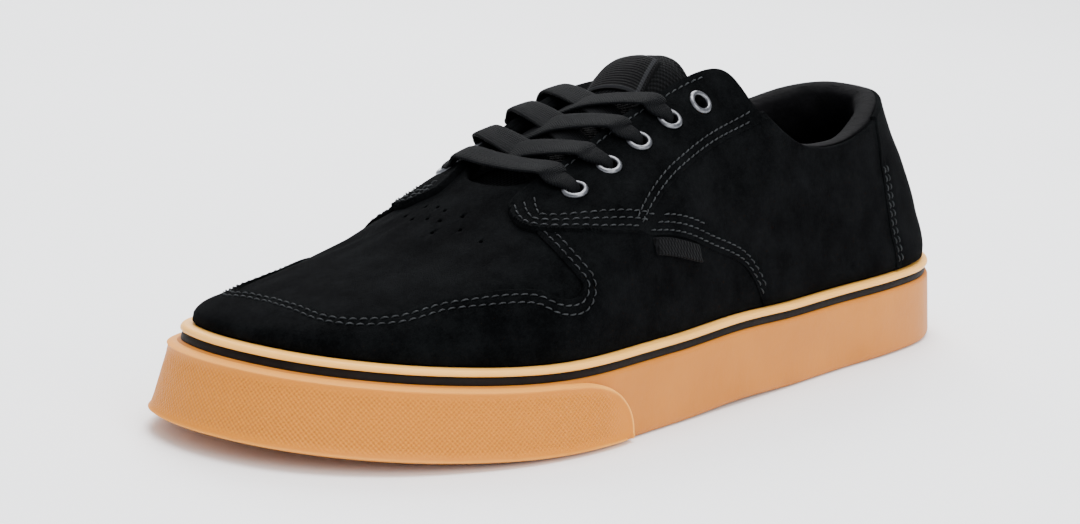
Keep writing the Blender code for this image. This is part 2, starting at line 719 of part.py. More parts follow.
def make_eyelets(cut_pieces):
    """Five ringed eyelets on each side, and the holes for them through wall and eyestays."""
    top = EYELET_SEAT
    depth = top + WALL - GAP
    barrel = EYELET_BORE + EYELET_METAL
    profile = [(EYELET_BORE, -depth), (EYELET_BORE, EYELET_FLANGE / 2),
               (EYELET_BORE + EYELET_METAL, EYELET_FLANGE), (EYELET_RADIUS, EYELET_FLANGE / 2),
               (EYELET_RADIUS, 0), (barrel, 0), (barrel, -depth)]
    rows, shares = eyelet_places()
    for side, flip in (("outer", False), ("inner", True)):
        for k, (row, share) in enumerate(zip(rows, shares)):
            u = ROWS - row if flip else row
            normal = upright(u, share)
            turn = normal.to_track_quat("Z", "Y").to_matrix().to_4x4()
            seat = Matrix.Translation(Vector(skin(u, share, top))) @ turn
            ring = turned_piece(f"eyelet_{side}_{k + 1}", profile, EYELET_SIDES)
            ring.matrix_world = seat
            reach = 2 * depth
            form = bmesh.new()
            bmesh.ops.create_cone(form, cap_ends=True, segments=EYELET_SIDES, depth=2 * reach,
                                  radius1=barrel + GAP, radius2=barrel + GAP)
            mesh = bpy.data.meshes.new("eyelet_cutter")
            form.to_mesh(mesh)
            form.free()
            cutter = bpy.data.objects.new(f"eyelet_cutter_{side}_{k + 1}", mesh)
            cutter.matrix_world = seat
            cutter.hide_render = True
            cutter.display_type = "WIRE"
            bpy.context.scene.collection.objects.link(cutter)
            for piece in cut_pieces[side]:
                cut = piece.modifiers.new(cutter.name, "BOOLEAN")
                cut.object = cutter
                cut.operation = "DIFFERENCE"
                cut.solver = "EXACT"


def ribbon(name, places):
    """A flat lace through places, each a point and the way that the lace's broad face looks."""
    path = open_curve([point for point, _ in places], LACE_STEPS)
    up = open_curve([way for _, way in places], LACE_STEPS)
    run = np.gradient(path, axis=0)
    run /= np.linalg.norm(run, axis=-1, keepdims=True)
    across = np.cross(run, up)
    across /= np.linalg.norm(across, axis=-1, keepdims=True)
    up = np.cross(across, run)
    corners = ((-1, 0), (-LACE_FLAT, -1), (LACE_FLAT, -1), (1, 0), (LACE_FLAT, 1), (-LACE_FLAT, 1))
    grid = np.stack([path + across * (a * LACE_WIDTH / 2) + up * (b * LACE_THICKNESS / 2)
                     for a, b in corners], 1)
    count, sides = grid.shape[:2]
    faces = ring_faces(count, sides, False)
    faces += [tuple(range(sides)), tuple(range((count - 1) * sides, count * sides))]
    return place(name, "black_lace", grid.reshape(-1, 3), faces)


def on_tongue(x, y, lift):
    """A place for the lace's middle over the tongue, and the tongue's normal there."""
    step = THROAT_STEP
    face = np.array([x, y, tongue_top(np.array(x), np.array(y))])
    by_x = tongue_top(np.array(x + step), np.array(y)) - face[2]
    by_y = tongue_top(np.array(x), np.array(y + step)) - face[2]
    up = np.array([-by_x, -by_y, step])
    up /= np.linalg.norm(up)
    return face + up * (lift + LACE_THICKNESS / 2), up


def on_flap(x, y, lift):
    """A place for the lace's middle over a flap, and the wall's normal there."""
    u, share = over_plan(x, y)
    return skin(u, share, EYELET_SEAT + lift + LACE_THICKNESS / 2), np.array(upright(u, share))


def over_eyelet(k, side):
    """A place for the lace's middle over an eyelet, and the wall's normal there."""
    rows, shares = eyelet_places()
    u = rows[k] if side > 0 else ROWS - rows[k]
    lift = EYELET_SEAT + LACE_LIFT + EYELET_FLANGE + LACE_THICKNESS / 2
    return skin(u, shares[k], lift), np.array(upright(u, shares[k]))


def flap_edge(x, side):
    """Where the lace crosses a flap's edge, at a distance x from the heel."""
    return on_flap(x, side * (throat(x, side)[0] + FLAP_MARGIN), LACE_LIFT)


def make_lace():
    """The straight bar over the front eyelets, and above it the crossings, each one joined solid."""
    x = EYELET_FIRST - EYELET_STEP * np.arange(EYELETS)
    over = LACE_LOW + LACE_THICKNESS * LACE_SINK
    ribbon("lace_bar", [
        over_eyelet(0, 1),
        flap_edge(x[0], 1),
        on_tongue(x[0] + BAR_FORWARD, 0.0, over + LACE_THICKNESS * LACE_SINK),
        flap_edge(x[0], -1),
        over_eyelet(0, -1),
    ])
    for k in range(1, EYELETS - 1):
        strands = []
        for side, lift in ((-1, LACE_LOW), (1, over)):
            end = x[k - 1] - LACE_TAIL
            far = throat(end, -side)[0]
            centre = (x[k] + x[k - 1]) / 2
            strands.append(ribbon(f"lace_over_{k}" if side > 0 else f"lace_crossing_{k}", [
                over_eyelet(k, side),
                flap_edge(x[k] + LACE_SLANT, side),
                on_tongue(centre, 0.0, lift),
                on_tongue((centre + end) / 2, -side * far / 2, LACE_LOW),
                on_tongue(end, -side * (far + LACE_HIDDEN), LACE_LOW),
            ]))
        crossing, strand = strands
        strand.hide_render = True
        strand.display_type = "WIRE"
        join = crossing.modifiers.new("over", "BOOLEAN")
        join.object = strand
        join.operation = "UNION"
        join.solver = "EXACT"
        join.use_self = True


def centre_on_floor():
    """Moves everything so that the origin is under the middle of the shoe's box."""
    bpy.context.view_layer.update()
    shown = [thing for thing in bpy.data.objects if thing.type == "MESH" and not thing.hide_render]
    corners = np.array([thing.matrix_world @ Vector(c) for thing in shown for c in thing.bound_box])
    low = corners.min(0)
    high = corners.max(0)
    shift = Vector(((low[0] + high[0]) / 2, (low[1] + high[1]) / 2, low[2]))
    holder = bpy.data.objects.new("shoe", None)
    bpy.context.scene.collection.objects.link(holder)
    for thing in bpy.data.objects:
        if thing is not holder:
            thing.parent = holder
    holder.location = -shift
    print("origin at", tuple(round(c, 5) for c in shift), "from the heel")


def main():
    for thing in list(bpy.data.objects):
        bpy.data.objects.remove(thing)
    make_sole()
    make_insole()
    upper = make_upper()
    overlays = make_overlays()
    make_tongue()
    make_lining()
    make_eyelets({side: [upper, overlays[f"eyestay_{side}"]] for side in ("outer", "inner")})
    make_lace()
    centre_on_floor()


main()
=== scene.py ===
# %% [markdown]
# # A skateboarding shoe, dressed
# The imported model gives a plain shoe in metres: +X to the toe, +Y to the outer side, +Z up, the origin
# on the floor under its middle. This lesson gives each piece the finish of the real one: brushed black
# suede with its seams, a gum rubber sole, a flat lace and grey metal eyelets.
# The model could be dressed with bump alone. Here the panels, stitches and lace are real meshes on the
# same curved wall as the solids, because their edges catch the light.

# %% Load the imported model
import math
from collections import namedtuple

import bmesh
import bpy
import numpy as np
from mathutils import Matrix, Vector, geometry, kdtree


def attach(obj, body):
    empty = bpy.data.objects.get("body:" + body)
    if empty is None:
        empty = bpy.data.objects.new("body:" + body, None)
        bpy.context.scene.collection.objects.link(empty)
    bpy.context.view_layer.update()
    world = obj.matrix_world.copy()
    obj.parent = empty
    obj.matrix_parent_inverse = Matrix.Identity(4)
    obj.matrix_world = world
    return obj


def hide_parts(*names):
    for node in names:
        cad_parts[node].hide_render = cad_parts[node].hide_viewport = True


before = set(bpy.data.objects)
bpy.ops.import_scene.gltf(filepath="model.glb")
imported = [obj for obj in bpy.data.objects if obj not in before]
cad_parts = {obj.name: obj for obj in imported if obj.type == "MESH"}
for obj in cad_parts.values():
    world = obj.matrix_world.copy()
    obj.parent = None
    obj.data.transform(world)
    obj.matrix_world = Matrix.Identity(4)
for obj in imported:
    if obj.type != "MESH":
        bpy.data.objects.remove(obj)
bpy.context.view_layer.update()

# %% [markdown]
# The shoe's wall is one curved surface, from the foxing up to the opening. Rows run around the shoe,
# from the heel along the outer side to the toe and back along the inner side. Shares run up the wall.
# A sculpted mesh would do for one look, but a surface with two numbers lets every panel, seam, hole and
# crease be placed on it by the same two numbers, so they all stay together.

# %% The shoe's sizes, from the heel, in metres
ORIGIN = np.array((0.15053, -0.00032, 0.0))
LENGTH = 0.300
BALL_WIDTH = 0.109
COLLAR_WIDTH = 0.060
HEEL_HEIGHT = 0.0805
INSTEP_HEIGHT = 0.096
GUM_HEIGHT = 0.0212
PINSTRIPE_HEIGHT = 0.0026
STRIP_HEIGHT = 0.0026
GAP = 0.0003
FOXING_HEIGHT = GUM_HEIGHT + PINSTRIPE_HEIGHT + STRIP_HEIGHT + 2 * GAP
LEDGE_WIDTH = 0.0036
WALL = 0.0020
print("foxing", round(FOXING_HEIGHT * 1000, 1), "mm high, wall", WALL * 1000, "mm thick")

# %% [markdown]
# Twenty-six sections go round the shoe, one to a row: from the heel along the outer side to the toe, and
# back along the inner side. Each says how far forward and how far out the sole's edge is there, where
# the opening's edge lies over it and how high, and how the wall bulges between the two. Splines drawn by
# hand would give the same lines, but in a table every number can be read and changed.

# %% The sections, in shares of those sizes
Section = namedtuple("Section", "station side edge_x edge_y heel instep lift slope reach")
SECTIONS = [
    Section(0.000, 0.000, 0.094, 0.00, 1.00, 0.00, 0.40, 70, 0.30),
    Section(0.025, 0.367, 0.103, 0.37, 0.995, 0.00, 0.40, 71, 0.30),
    Section(0.080, 0.605, 0.136, 0.68, 0.965, 0.00, 0.38, 74, 0.30),
    Section(0.160, 0.708, 0.188, 0.91, 0.905, 0.00, 0.36, 77, 0.30),
    Section(0.270, 0.761, 0.252, 1.00, 0.865, 0.00, 0.36, 79, 0.30),
    Section(0.380, 0.831, 0.312, 1.00, 0.89, 0.00, 0.40, 74, 0.30),
    Section(0.490, 0.893, 0.372, 0.92, 1.03, 0.00, 0.46, 60, 0.34),
    Section(0.600, 0.957, 0.408, 0.60, 0.00, 1.00, 0.52, 38, 0.40),
    Section(0.710, 1.009, 0.515, 0.53, 0.00, 0.91, 0.52, 34, 0.42),
    Section(0.800, 0.950, 0.600, 0.53, 0.00, 0.80, 0.50, 34, 0.42),
    Section(0.885, 0.760, 0.648, 0.49, 0.00, 0.735, 0.42, 36, 0.44),
    Section(0.945, 0.503, 0.670, 0.33, 0.00, 0.71, 0.34, 37, 0.46),
    Section(0.985, 0.171, 0.679, 0.14, 0.00, 0.703, 0.30, 38, 0.48),
    Section(1.000, -0.248, 0.681, -0.05, 0.00, 0.702, 0.28, 38, 0.48),
    Section(0.985, -0.626, 0.678, -0.22, 0.00, 0.703, 0.27, 40, 0.45),
    Section(0.945, -0.859, 0.668, -0.37, 0.00, 0.71, 0.27, 42, 0.42),
    Section(0.885, -0.978, 0.647, -0.49, 0.00, 0.735, 0.23, 44, 0.38),
    Section(0.800, -1.020, 0.600, -0.53, 0.00, 0.80, 0.25, 43, 0.36),
    Section(0.710, -0.969, 0.515, -0.55, 0.00, 0.895, 0.35, 39, 0.38),
    Section(0.610, -0.860, 0.408, -0.80, 0.00, 0.905, 0.46, 45, 0.38),
    Section(0.500, -0.734, 0.372, -0.92, 1.03, 0.00, 0.46, 60, 0.34),
    Section(0.380, -0.661, 0.312, -1.00, 0.89, 0.00, 0.40, 74, 0.30),
    Section(0.270, -0.651, 0.252, -1.00, 0.865, 0.00, 0.36, 79, 0.30),
    Section(0.160, -0.661, 0.188, -0.91, 0.905, 0.00, 0.36, 77, 0.30),
    Section(0.080, -0.578, 0.136, -0.68, 0.965, 0.00, 0.38, 74, 0.30),
    Section(0.025, -0.347, 0.103, -0.37, 0.995, 0.00, 0.40, 71, 0.30),
]
ROWS = len(SECTIONS)
TOE_ROW = ROWS // 2
FLAP_ROW = 7
print("sections", ROWS, "with the toe at row", TOE_ROW)


# %% Curves through a table
def along(table, u):
    """Catmull-Rom through the rows of a closed table, at row numbers u."""
    rows = np.asarray(table, float)
    u = np.asarray(u, float)
    first = np.floor(u).astype(int)
    t = (u - first)[..., None]
    a, b, c, d = (rows[(first + k) % len(rows)] for k in (-1, 0, 1, 2))
    bend = 2 * a - 5 * b + 4 * c - d
    return b + 0.5 * t * ((c - a) + t * (bend + t * (3 * (b - c) + d - a)))


def ease(value, start, end):
    """0 before start, 1 after end, and smooth between them."""
    t = np.clip((value - start) / (end - start), 0, 1)
    return t * t * (3 - 2 * t)


def unit(vectors):
    return vectors / np.linalg.norm(vectors, axis=-1, keepdims=True)


# %% The sole's outline and height
def ground(x):
    """Height of the sole's underside over the floor: toe spring and a slightly raised waist."""
    station = x / LENGTH
    spring = 0.0055 * np.clip((station - 0.72) / 0.28, 0, 1) ** 1.6
    waist = ease(station, 0.34, 0.45) * (1 - ease(station, 0.45, 0.56))
    return spring + 0.0008 * waist


def outline(u):
    """The sole's edge seen from above, and the direction that points inwards from it."""
    table = [(s.station * LENGTH, s.side * BALL_WIDTH / 2) for s in SECTIONS]
    tangent = unit(along(table, np.asarray(u) + 0.05) - along(table, np.asarray(u) - 0.05))
    return along(table, u), np.stack([tangent[..., 1], -tangent[..., 0]], -1)


def lean(u):
    """How far the sole's side leans in over its whole height, most at the toe."""
    return 0.002 + 0.0053 * ease(outline(u)[0][..., 0] / LENGTH, 0.66, 1.0)


def sole_ring(u, inset, height):
    """Points at an inset from the sole's edge and a height over its underside."""
    here, inwards = outline(u)
    plan = here + inwards * np.broadcast_to(inset, np.shape(u))[..., None]
    z = ground(here[..., 0]) + height
    return np.concatenate([plan, np.broadcast_to(z, np.shape(u))[..., None]], -1)


def floor_thickness(x):
    return 0.012 - 0.004 * ease(x / LENGTH, 0.3, 0.65)


# %% The wall
def wall(u, v):
    """The upper's outer face. v is 0 at the foxing, 1 at the opening's edge, -1 on the sole's floor."""
    u, v = np.broadcast_arrays(np.asarray(u, float), np.asarray(v, float))
    foot = sole_ring(u, lean(u) + LEDGE_WIDTH, FOXING_HEIGHT + GAP)
    row = along(SECTIONS, u)
    height = row[..., 4] * HEEL_HEIGHT + row[..., 5] * INSTEP_HEIGHT
    edge = np.stack([row[..., 2] * LENGTH, row[..., 3] * COLLAR_WIDTH / 2, height], -1)
    out = foot - edge
    out[..., 2] = 0
    angle = np.radians(row[..., 7])[..., None]
    falling = unit(out) * np.cos(angle) - np.array([0, 0, 1.0]) * np.sin(angle)
    chord = np.linalg.norm(edge - foot, axis=-1, keepdims=True)
    rising = np.zeros_like(foot)
    rising[..., 2] = row[..., 6] * (edge - foot)[..., 2]
    low = foot + rising
    high = edge + falling * chord * row[..., 8:9]
    t = np.maximum(v, 0)[..., None]
    s = 1 - t
    point = s**3 * foot + 3 * s * s * t * low + 3 * s * t * t * high + t**3 * edge
    drop = FOXING_HEIGHT - floor_thickness(outline(u)[0][..., 0])
    point[..., 2] += np.minimum(v, 0) * drop
    return point


# %% Places off the wall
DRAWN_IN = 0.0010
DRAWN_IN_AT_HEEL = 0.0007


def slopes(u, v, step=0.01):
    """How the wall runs along its rows and up its shares."""
    by_u = (wall(u + step, v) - wall(u - step, v)) / (2 * step)
    by_v = (wall(u, v + step) - wall(u, v - step)) / (2 * step)
    return by_u, by_v


def drawn_in(u, v):
    """How far the soft wall is pulled in from the plain one, most around the heel."""
    heel = 1 - ease(wall(u, 0.0)[..., 0], 0.05, 0.12)
    return (DRAWN_IN + DRAWN_IN_AT_HEEL * heel) * ease(v, 0.0, 0.25)


def skin(u, v, offset):
    """The upper's outer face moved out along its own normal."""
    u, v = np.broadcast_arrays(np.asarray(u, float), np.asarray(v, float))
    by_u, by_v = slopes(u, v)
    return wall(u, v) + unit(np.cross(by_v, by_u)) * (np.asarray(offset) - drawn_in(u, v))[..., None]


print("toe", np.round(wall(13.0, 0.0), 4), "flap corner", np.round(wall(7.0, 1.0), 4))

# %% [markdown]
# Even a new shoe isn't smooth: suede folds a little across the ball, puckers at the throat's front and
# hollows over the ankle. Cloth simulation would crumple leather too much that is lasted over a form.
# Each crease here is a soft trough with a low ridge beside it, placed in rows and shares of the
# wall, and every suede panel takes the same relief, so that the seams follow it.

# %% Creases and hollows in the wall
ROW_LENGTH = 0.020
WALL_LENGTH = 0.055
SCALE = np.array([ROW_LENGTH, WALL_LENGTH])
HANDLING = 0.00016
Crease = namedtuple("Crease", "row share end_row end_share depth width")
CREASES = [
    Crease(9.60, 0.46, 10.30, 0.70, 0.00035, 0.0040),
    Crease(8.90, 0.36, 9.35, 0.52, 0.00030, 0.0035),
    Crease(10.9, 0.70, 12.00, 0.80, 0.00025, 0.0045),
    Crease(8.10, 0.42, 8.80, 0.36, 0.00025, 0.0040),
    Crease(6.20, 0.45, 6.00, 0.75, 0.00040, 0.0060),
    Crease(4.60, 0.55, 5.40, 0.35, 0.00050, 0.0090),
    Crease(3.30, 0.35, 3.60, 0.75, 0.00035, 0.0070),
    Crease(7.90, 0.62, 8.70, 0.66, 0.00025, 0.0040),
    Crease(16.1, 0.45, 15.4, 0.70, 0.00035, 0.0040),
    Crease(17.1, 0.36, 16.6, 0.55, 0.00030, 0.0040),
    Crease(20.0, 0.45, 20.1, 0.75, 0.00040, 0.0060),
    Crease(21.4, 0.55, 20.7, 0.35, 0.00050, 0.0090),
    Crease(22.7, 0.35, 22.4, 0.75, 0.00035, 0.0070),
]


def relief(u, v):
    """How far the suede stands out of the smooth wall, in metres, from its creases and handling."""
    u, v = np.broadcast_arrays(np.asarray(u, float) % ROWS, np.asarray(v, float))
    here = np.stack([u, v], -1) * SCALE
    height = np.zeros(u.shape)
    for c in CREASES:
        start = np.array([c.row, c.share]) * SCALE
        run = np.array([c.end_row, c.end_share]) * SCALE - start
        t = np.clip(((here - start) @ run) / (run @ run), 0, 1)
        away = np.linalg.norm(here - start - t[..., None] * run, axis=-1) / c.width
        taper = 0.4 + 0.6 * np.sin(np.pi * np.clip(t, 0.05, 0.95))
        height += c.depth * taper * (0.45 * np.exp(-((away - 1.7) ** 2)) - np.exp(-(away**2)))
    wave = np.sin(here[..., 0] * 210 + 3 * np.sin(here[..., 1] * 90)) * np.sin(here[..., 1] * 160 + 1.3)
    return height + HANDLING * wave * ease(v, 0.0, 0.15) * (1 - ease(v, 0.85, 1.0))


sampled = relief(*np.meshgrid(np.arange(0, ROWS, 0.1), np.arange(0, 1, 0.02)))
print("deepest trough", round(float(sampled.min()) * 1000, 2), "mm")

# %% [markdown]
# Each finish is a small node tree on Blender's Principled shader. Image textures would be quicker to
# paint, but noise and waves in the shoe's own metres keep their scale on every piece. Numbers that are
# the same all over sit on the shader's own sockets, and only what varies is wired to it.

# %% A material that grows node by node
class NodeMaterial:
    """A material on the Principled shader; each call to add() makes one more node."""

    def __init__(self, name, **sockets):
        self.material = bpy.data.materials.new(name)
        self.material.use_nodes = True
        self.tree = self.material.node_tree
        self.shader = self.tree.nodes["Principled BSDF"]
        for socket, value in sockets.items():
            self.shader.inputs[socket.replace("_", " ")].default_value = value

    def add(self, kind, settings=(), **inputs):
        node = self.tree.nodes.new("ShaderNode" + kind)
        for key, value in dict(settings).items():
            setattr(node, key, value)
        for key, value in inputs.items():
            self.wire(node.inputs[int(key[1:]) if key[0] == "_" else key], value)
        return node

    def wire(self, socket, value):
        if isinstance(value, bpy.types.NodeSocket):
            self.tree.links.new(value, socket)
        else:
            socket.default_value = value


# %% What the finishes share
class Finish(NodeMaterial):
    """Places in metres, noise, waves, colour and relief, each in one call."""

    def metres(self):
        return self.add("TexCoord").outputs["Object"]

    def parts(self, vector):
        return self.add("SeparateXYZ", Vector=vector).outputs

    def own_map(self, name):
        """The two measures that the piece's own map holds."""
        return self.parts(self.add("UVMap", {"uv_map": name}).outputs[0])

    def noise(self, scale, detail=3.0, roughness=0.55):
        node = self.add("TexNoise", Vector=self.metres(), Scale=scale, Detail=detail, Roughness=roughness)
        return node.outputs[0]

    def maths(self, operation, a, b=0.0):
        return self.add("Math", {"operation": operation}, _0=a, _1=b).outputs[0]

    def waves(self, value, density):
        """A sine of a measure, at a density in radians a metre: 4400 is a wave of 1.4 mm."""
        return self.maths("SINE", self.maths("MULTIPLY", value, density))

    def between(self, value, low, high, start, end):
        """Turns a value between low and high into one between start and end."""
        return self.add("MapRange", _0=value, _1=low, _2=high, _3=start, _4=end).outputs[0]

    def colours(self, share, first, second, start=0.35, end=0.70):
        ramp = self.add("ValToRGB", Fac=share)
        ramp.color_ramp.elements[0].color = (*first, 1)
        ramp.color_ramp.elements[1].color = (*second, 1)
        ramp.color_ramp.elements[0].position = start
        ramp.color_ramp.elements[1].position = end
        self.wire(self.shader.inputs["Base Color"], ramp.outputs[0])
        return ramp.outputs[0]

    def bumps(self, *layers):
        """Layers of (height, depth in metres), one on another."""
        normal = None
        for height, depth in layers:
            node = self.add("Bump", Strength=1.0, Distance=depth, Height=height)
            if normal:
                self.wire(node.inputs["Normal"], normal)
            normal = node.outputs[0]
        self.wire(self.shader.inputs["Normal"], normal)


# %% [markdown]
# Suede is leather brushed to a short nap. It's nearly black, with a grey speckle where the nap has
# turned and hardly any gloss. Hair would be truer, but far too heavy for a piece that has to be
# exported, so the nap is noise of three sizes in the colour and in the relief, with a trace of sheen.
# The lining is the same idea, smoother.

# %% Suede and lining
suede = Finish("black_suede", Roughness=0.95, Sheen_Weight=0.003, Sheen_Roughness=0.6,
               Specular_IOR_Level=0.02, Sheen_Tint=(0.80, 0.88, 0.95, 1))
blotches = suede.maths("MULTIPLY", suede.noise(95, 4), 0.45)
blotches = suede.maths("ADD", blotches, suede.maths("MULTIPLY", suede.noise(620, 3, 0.7), 0.25))
blotches = suede.maths("ADD", blotches, suede.maths("MULTIPLY", suede.noise(2300, 2, 0.7), 0.30))
suede.colours(blotches, (0.0002, 0.0003, 0.0004), (0.0036, 0.0041, 0.0044), 0.40, 0.64)
suede.bumps((suede.noise(260, 3, 0.6), 0.0002), (suede.noise(2200, 3, 0.75), 0.00035),
            (suede.noise(5200, 2, 0.7), 0.00015))

lining = Finish("black_lining", Roughness=0.78, Sheen_Weight=0.004, Sheen_Roughness=0.4,
                Specular_IOR_Level=0.04)
lining.colours(lining.noise(200, 3), (0.0016, 0.0016, 0.0019), (0.0034, 0.0033, 0.0038))
lining.bumps((lining.noise(350, 3), 0.0003), (lining.noise(3200, 2), 0.00006))

# %% [markdown]
# The tongue, the side tab and the footbed are knitted textile, and the tongue's label is a tight weave
# with a plain border. Waves that cross make a knit, and waves one way make a weave. A picture of cloth
# would show its edges and repeats. The thread is grey, so that the seams read on the black suede.

# %% Textile, label and thread
KNIT_WAVES = 4400
LABEL_WAVES = 9000
textile = Finish("black_textile", Roughness=0.85, Sheen_Weight=0.004, Sheen_Roughness=0.5,
                 Specular_IOR_Level=0.06)
textile_xyz = textile.parts(textile.metres())
knit = textile.maths("MULTIPLY", textile.waves(textile_xyz[0], KNIT_WAVES),
                     textile.waves(textile_xyz[1], KNIT_WAVES))
textile.colours(textile.between(knit, -1, 1, 0, 1), (0.0006, 0.0007, 0.0008), (0.0036, 0.0038, 0.0043))
textile.bumps((knit, 0.00022), (textile.noise(900, 3), 0.0002))

label_weave = Finish("woven_label", Roughness=0.8, Sheen_Weight=0.004, Sheen_Roughness=0.5,
                     Specular_IOR_Level=0.06)
label_rows = label_weave.waves(label_weave.parts(label_weave.metres())[0], LABEL_WAVES)
label_map = label_weave.own_map("frame")
rim = label_weave.maths("MAXIMUM", label_weave.maths("ABSOLUTE", label_map[0]),
                        label_weave.maths("ABSOLUTE", label_map[1]))
frame_line = label_weave.maths("MULTIPLY", label_weave.between(rim, 0.78, 0.80, 0, 1),
                               label_weave.between(rim, 0.88, 0.90, 1, 0))
shade = label_weave.maths("ADD", label_weave.between(label_rows, -1, 1, 0.30, 0.40),
                          label_weave.maths("MULTIPLY", frame_line, 0.35))
label_weave.colours(shade, (0.0010, 0.0010, 0.0012), (0.0160, 0.0165, 0.0180))
label_weave.bumps((label_rows, 0.00008), (frame_line, 0.0001), (label_weave.noise(1800, 2), 0.0001))

thread = Finish("grey_thread", Roughness=0.7, Sheen_Weight=0.02, Sheen_Roughness=0.5,
                Specular_IOR_Level=0.2)
thread.colours(thread.noise(900, 2), (0.007, 0.008, 0.009), (0.024, 0.027, 0.029))
thread.bumps((thread.noise(4000, 2), 0.0001))

# %% [markdown]
# Gum rubber is a warm tan that's slightly soft in its shading. The toe bumper is moulded with a fine
# hatch. Modelled line by line it would cost a million faces, so the hatch is two crossing waves in the
# piece's own map, which runs around the toe and up its side in metres. It fades out towards the
# bumper's smooth rim and its two ends. A paler band along the rim, strongest at the ends, is painted
# highlight for the light caught by the rounded edge, so that the ends show on the cup.

# %% Gum rubber, plain and hatched
HATCH_WAVES = 4300
GUM_SHADING = {"Specular_IOR_Level": 0.22, "Subsurface_Weight": 0.06,
               "Subsurface_Radius": (0.004, 0.002, 0.001), "Subsurface_Scale": 1.0}
gum = Finish("gum_rubber", Roughness=0.52, **GUM_SHADING)
gum.colours(gum.noise(45, 3), (0.430, 0.142, 0.009), (0.480, 0.165, 0.013))
gum.bumps((gum.noise(240, 2), 0.00018), (gum.noise(1800, 2), 0.00004))

hatched = Finish("hatched_gum_rubber", Roughness=0.55, **GUM_SHADING)
side_map = hatched.own_map("side")
rim_map = hatched.own_map("rim")
hatch = hatched.maths("MULTIPLY", hatched.waves(side_map[0], HATCH_WAVES),
                      hatched.waves(side_map[1], HATCH_WAVES))
rim_fade = hatched.between(rim_map[0], 0.0014, 0.0036, 0, 1)
end_fade = hatched.between(rim_map[1], 0.004, 0.013, 0, 1)
hatch = hatched.maths("MULTIPLY", hatch, hatched.maths("MULTIPLY", rim_fade, end_fade))
# Painted highlight: a paler band just inside the bumper's rim, strongest near its two ends, stands in for
# light caught by the rounded edge.
painted_edge_highlight = hatched.maths("MULTIPLY", hatched.between(rim_map[0], 0.0006, 0.0014, 1, 0),
                     hatched.between(rim_map[1], 0.010, 0.020, 1, 0.45))
hatch_share = hatched.between(hatch, -1, 1, 0.38, 0.75)
hatch_colour = hatched.colours(hatch_share, (0.430, 0.130, 0.005), (0.585, 0.205, 0.010))
# The paler gum colour mixed in here is the painted highlight along the rim.
edge_highlight_mix = hatched.add("Mix", {"data_type": "RGBA"}, _0=painted_edge_highlight, _6=hatch_colour, _7=(0.80, 0.36, 0.06, 1))
hatched.wire(hatched.shader.inputs["Base Color"], edge_highlight_mix.outputs[2])
hatched.bumps((hatched.noise(240, 2), 0.00015), (hatch, 0.00018))

# %% The rubber of the two strips
cream = Finish("cream_rubber", Roughness=0.45, Specular_IOR_Level=0.4, Subsurface_Weight=0.05,
               Subsurface_Radius=(0.004, 0.003, 0.002), Subsurface_Scale=1.0)
cream.colours(cream.noise(60, 3), (0.830, 0.405, 0.065), (0.890, 0.445, 0.080))
cream.bumps((cream.noise(500, 2), 0.0001))

pinstripe_rubber = Finish("black_rubber", Roughness=0.6, Specular_IOR_Level=0.08)
pinstripe_rubber.colours(pinstripe_rubber.noise(200, 3), (0.0050, 0.0032, 0.0024), (0.0090, 0.0060, 0.0046))
pinstripe_rubber.bumps((pinstripe_rubber.noise(700, 2), 0.0001))

# %% [markdown]
# The lace is a flat tubular weave: slanted yarns that meet in a chevron along its middle. Real yarns
# could be modelled, but at a lace's width in the picture they're a texture. The waves run in a map with
# metres along the lace and across it, so that the chevron follows every turn. The eyelets are dark grey
# metal with a satin gloss.

# %% Lace and metal
YARN_WAVES = 7600
RIB_WAVES = 8200
lace_weave = Finish("black_lace", Roughness=0.80, Sheen_Weight=0.006, Sheen_Roughness=0.45,
                    Specular_IOR_Level=0.06)
lace_map = lace_weave.own_map("weave")
across = lace_weave.maths("ABSOLUTE", lace_map[1])
slant = lace_weave.maths("ADD", lace_map[0], lace_weave.maths("MULTIPLY", across, 0.8))
yarns = lace_weave.maths("MULTIPLY", lace_weave.waves(slant, YARN_WAVES), 0.6)
ribs = lace_weave.maths("MULTIPLY", lace_weave.waves(lace_map[1], RIB_WAVES), 0.4)
weave = lace_weave.maths("ADD", yarns, ribs)
weave_share = lace_weave.between(weave, -1, 1, 0.1, 0.9)
lace_weave.colours(weave_share, (0.0005, 0.0006, 0.0008), (0.0027, 0.0032, 0.0039))
lace_weave.bumps((weave, 0.00009), (lace_weave.noise(1500, 3), 0.00018))

metal = Finish("grey_metal", Metallic=1.0, Roughness=0.30)
metal.colours(metal.noise(700, 3), (0.095, 0.098, 0.105), (0.170, 0.173, 0.183))
metal.bumps((metal.noise(2500, 2), 0.00003))
print("finishes", len(bpy.data.materials))

# %% [markdown]
# Every piece is placed in the shoe's own sizes and then moved to the frame's origin, which lies under
# the middle of the shoe. It rides on the model's one body, takes its finish's material,
# and stands for the plain solids that it replaces.

# %% How a piece is made
def piece(name, points, faces, finish, nodes=(), smooth=40):
    """A mesh from points (measured from the heel) and faces, with its faces turned outwards."""
    mesh = bpy.data.meshes.new(name)
    mesh.from_pydata((np.asarray(points) - ORIGIN).tolist(), [], [tuple(map(int, f)) for f in faces])
    form = bmesh.new()
    form.from_mesh(mesh)
    bmesh.ops.recalc_face_normals(form, faces=form.faces)
    form.to_mesh(mesh)
    form.free()
    mesh.shade_smooth()
    if smooth < 180:
        mesh.set_sharp_from_angle(angle=math.radians(smooth))
    mesh.materials.append(finish.material)
    thing = bpy.data.objects.new(name, mesh)
    bpy.context.scene.collection.objects.link(thing)
    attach(thing, "root")
    if nodes:
        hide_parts(*nodes)
    return thing


# %% Faces between rings, and maps
def ring_faces(rings, count, closed):
    """Quads between each ring of points and the next, and back to the first where closed."""
    faces = []
    for r in range(rings if closed else rings - 1):
        below, above = r * count, (r + 1) % rings * count
        for i in range(count):
            j = (i + 1) % count
            faces.append((below + i, below + j, above + j, above + i))
    return faces


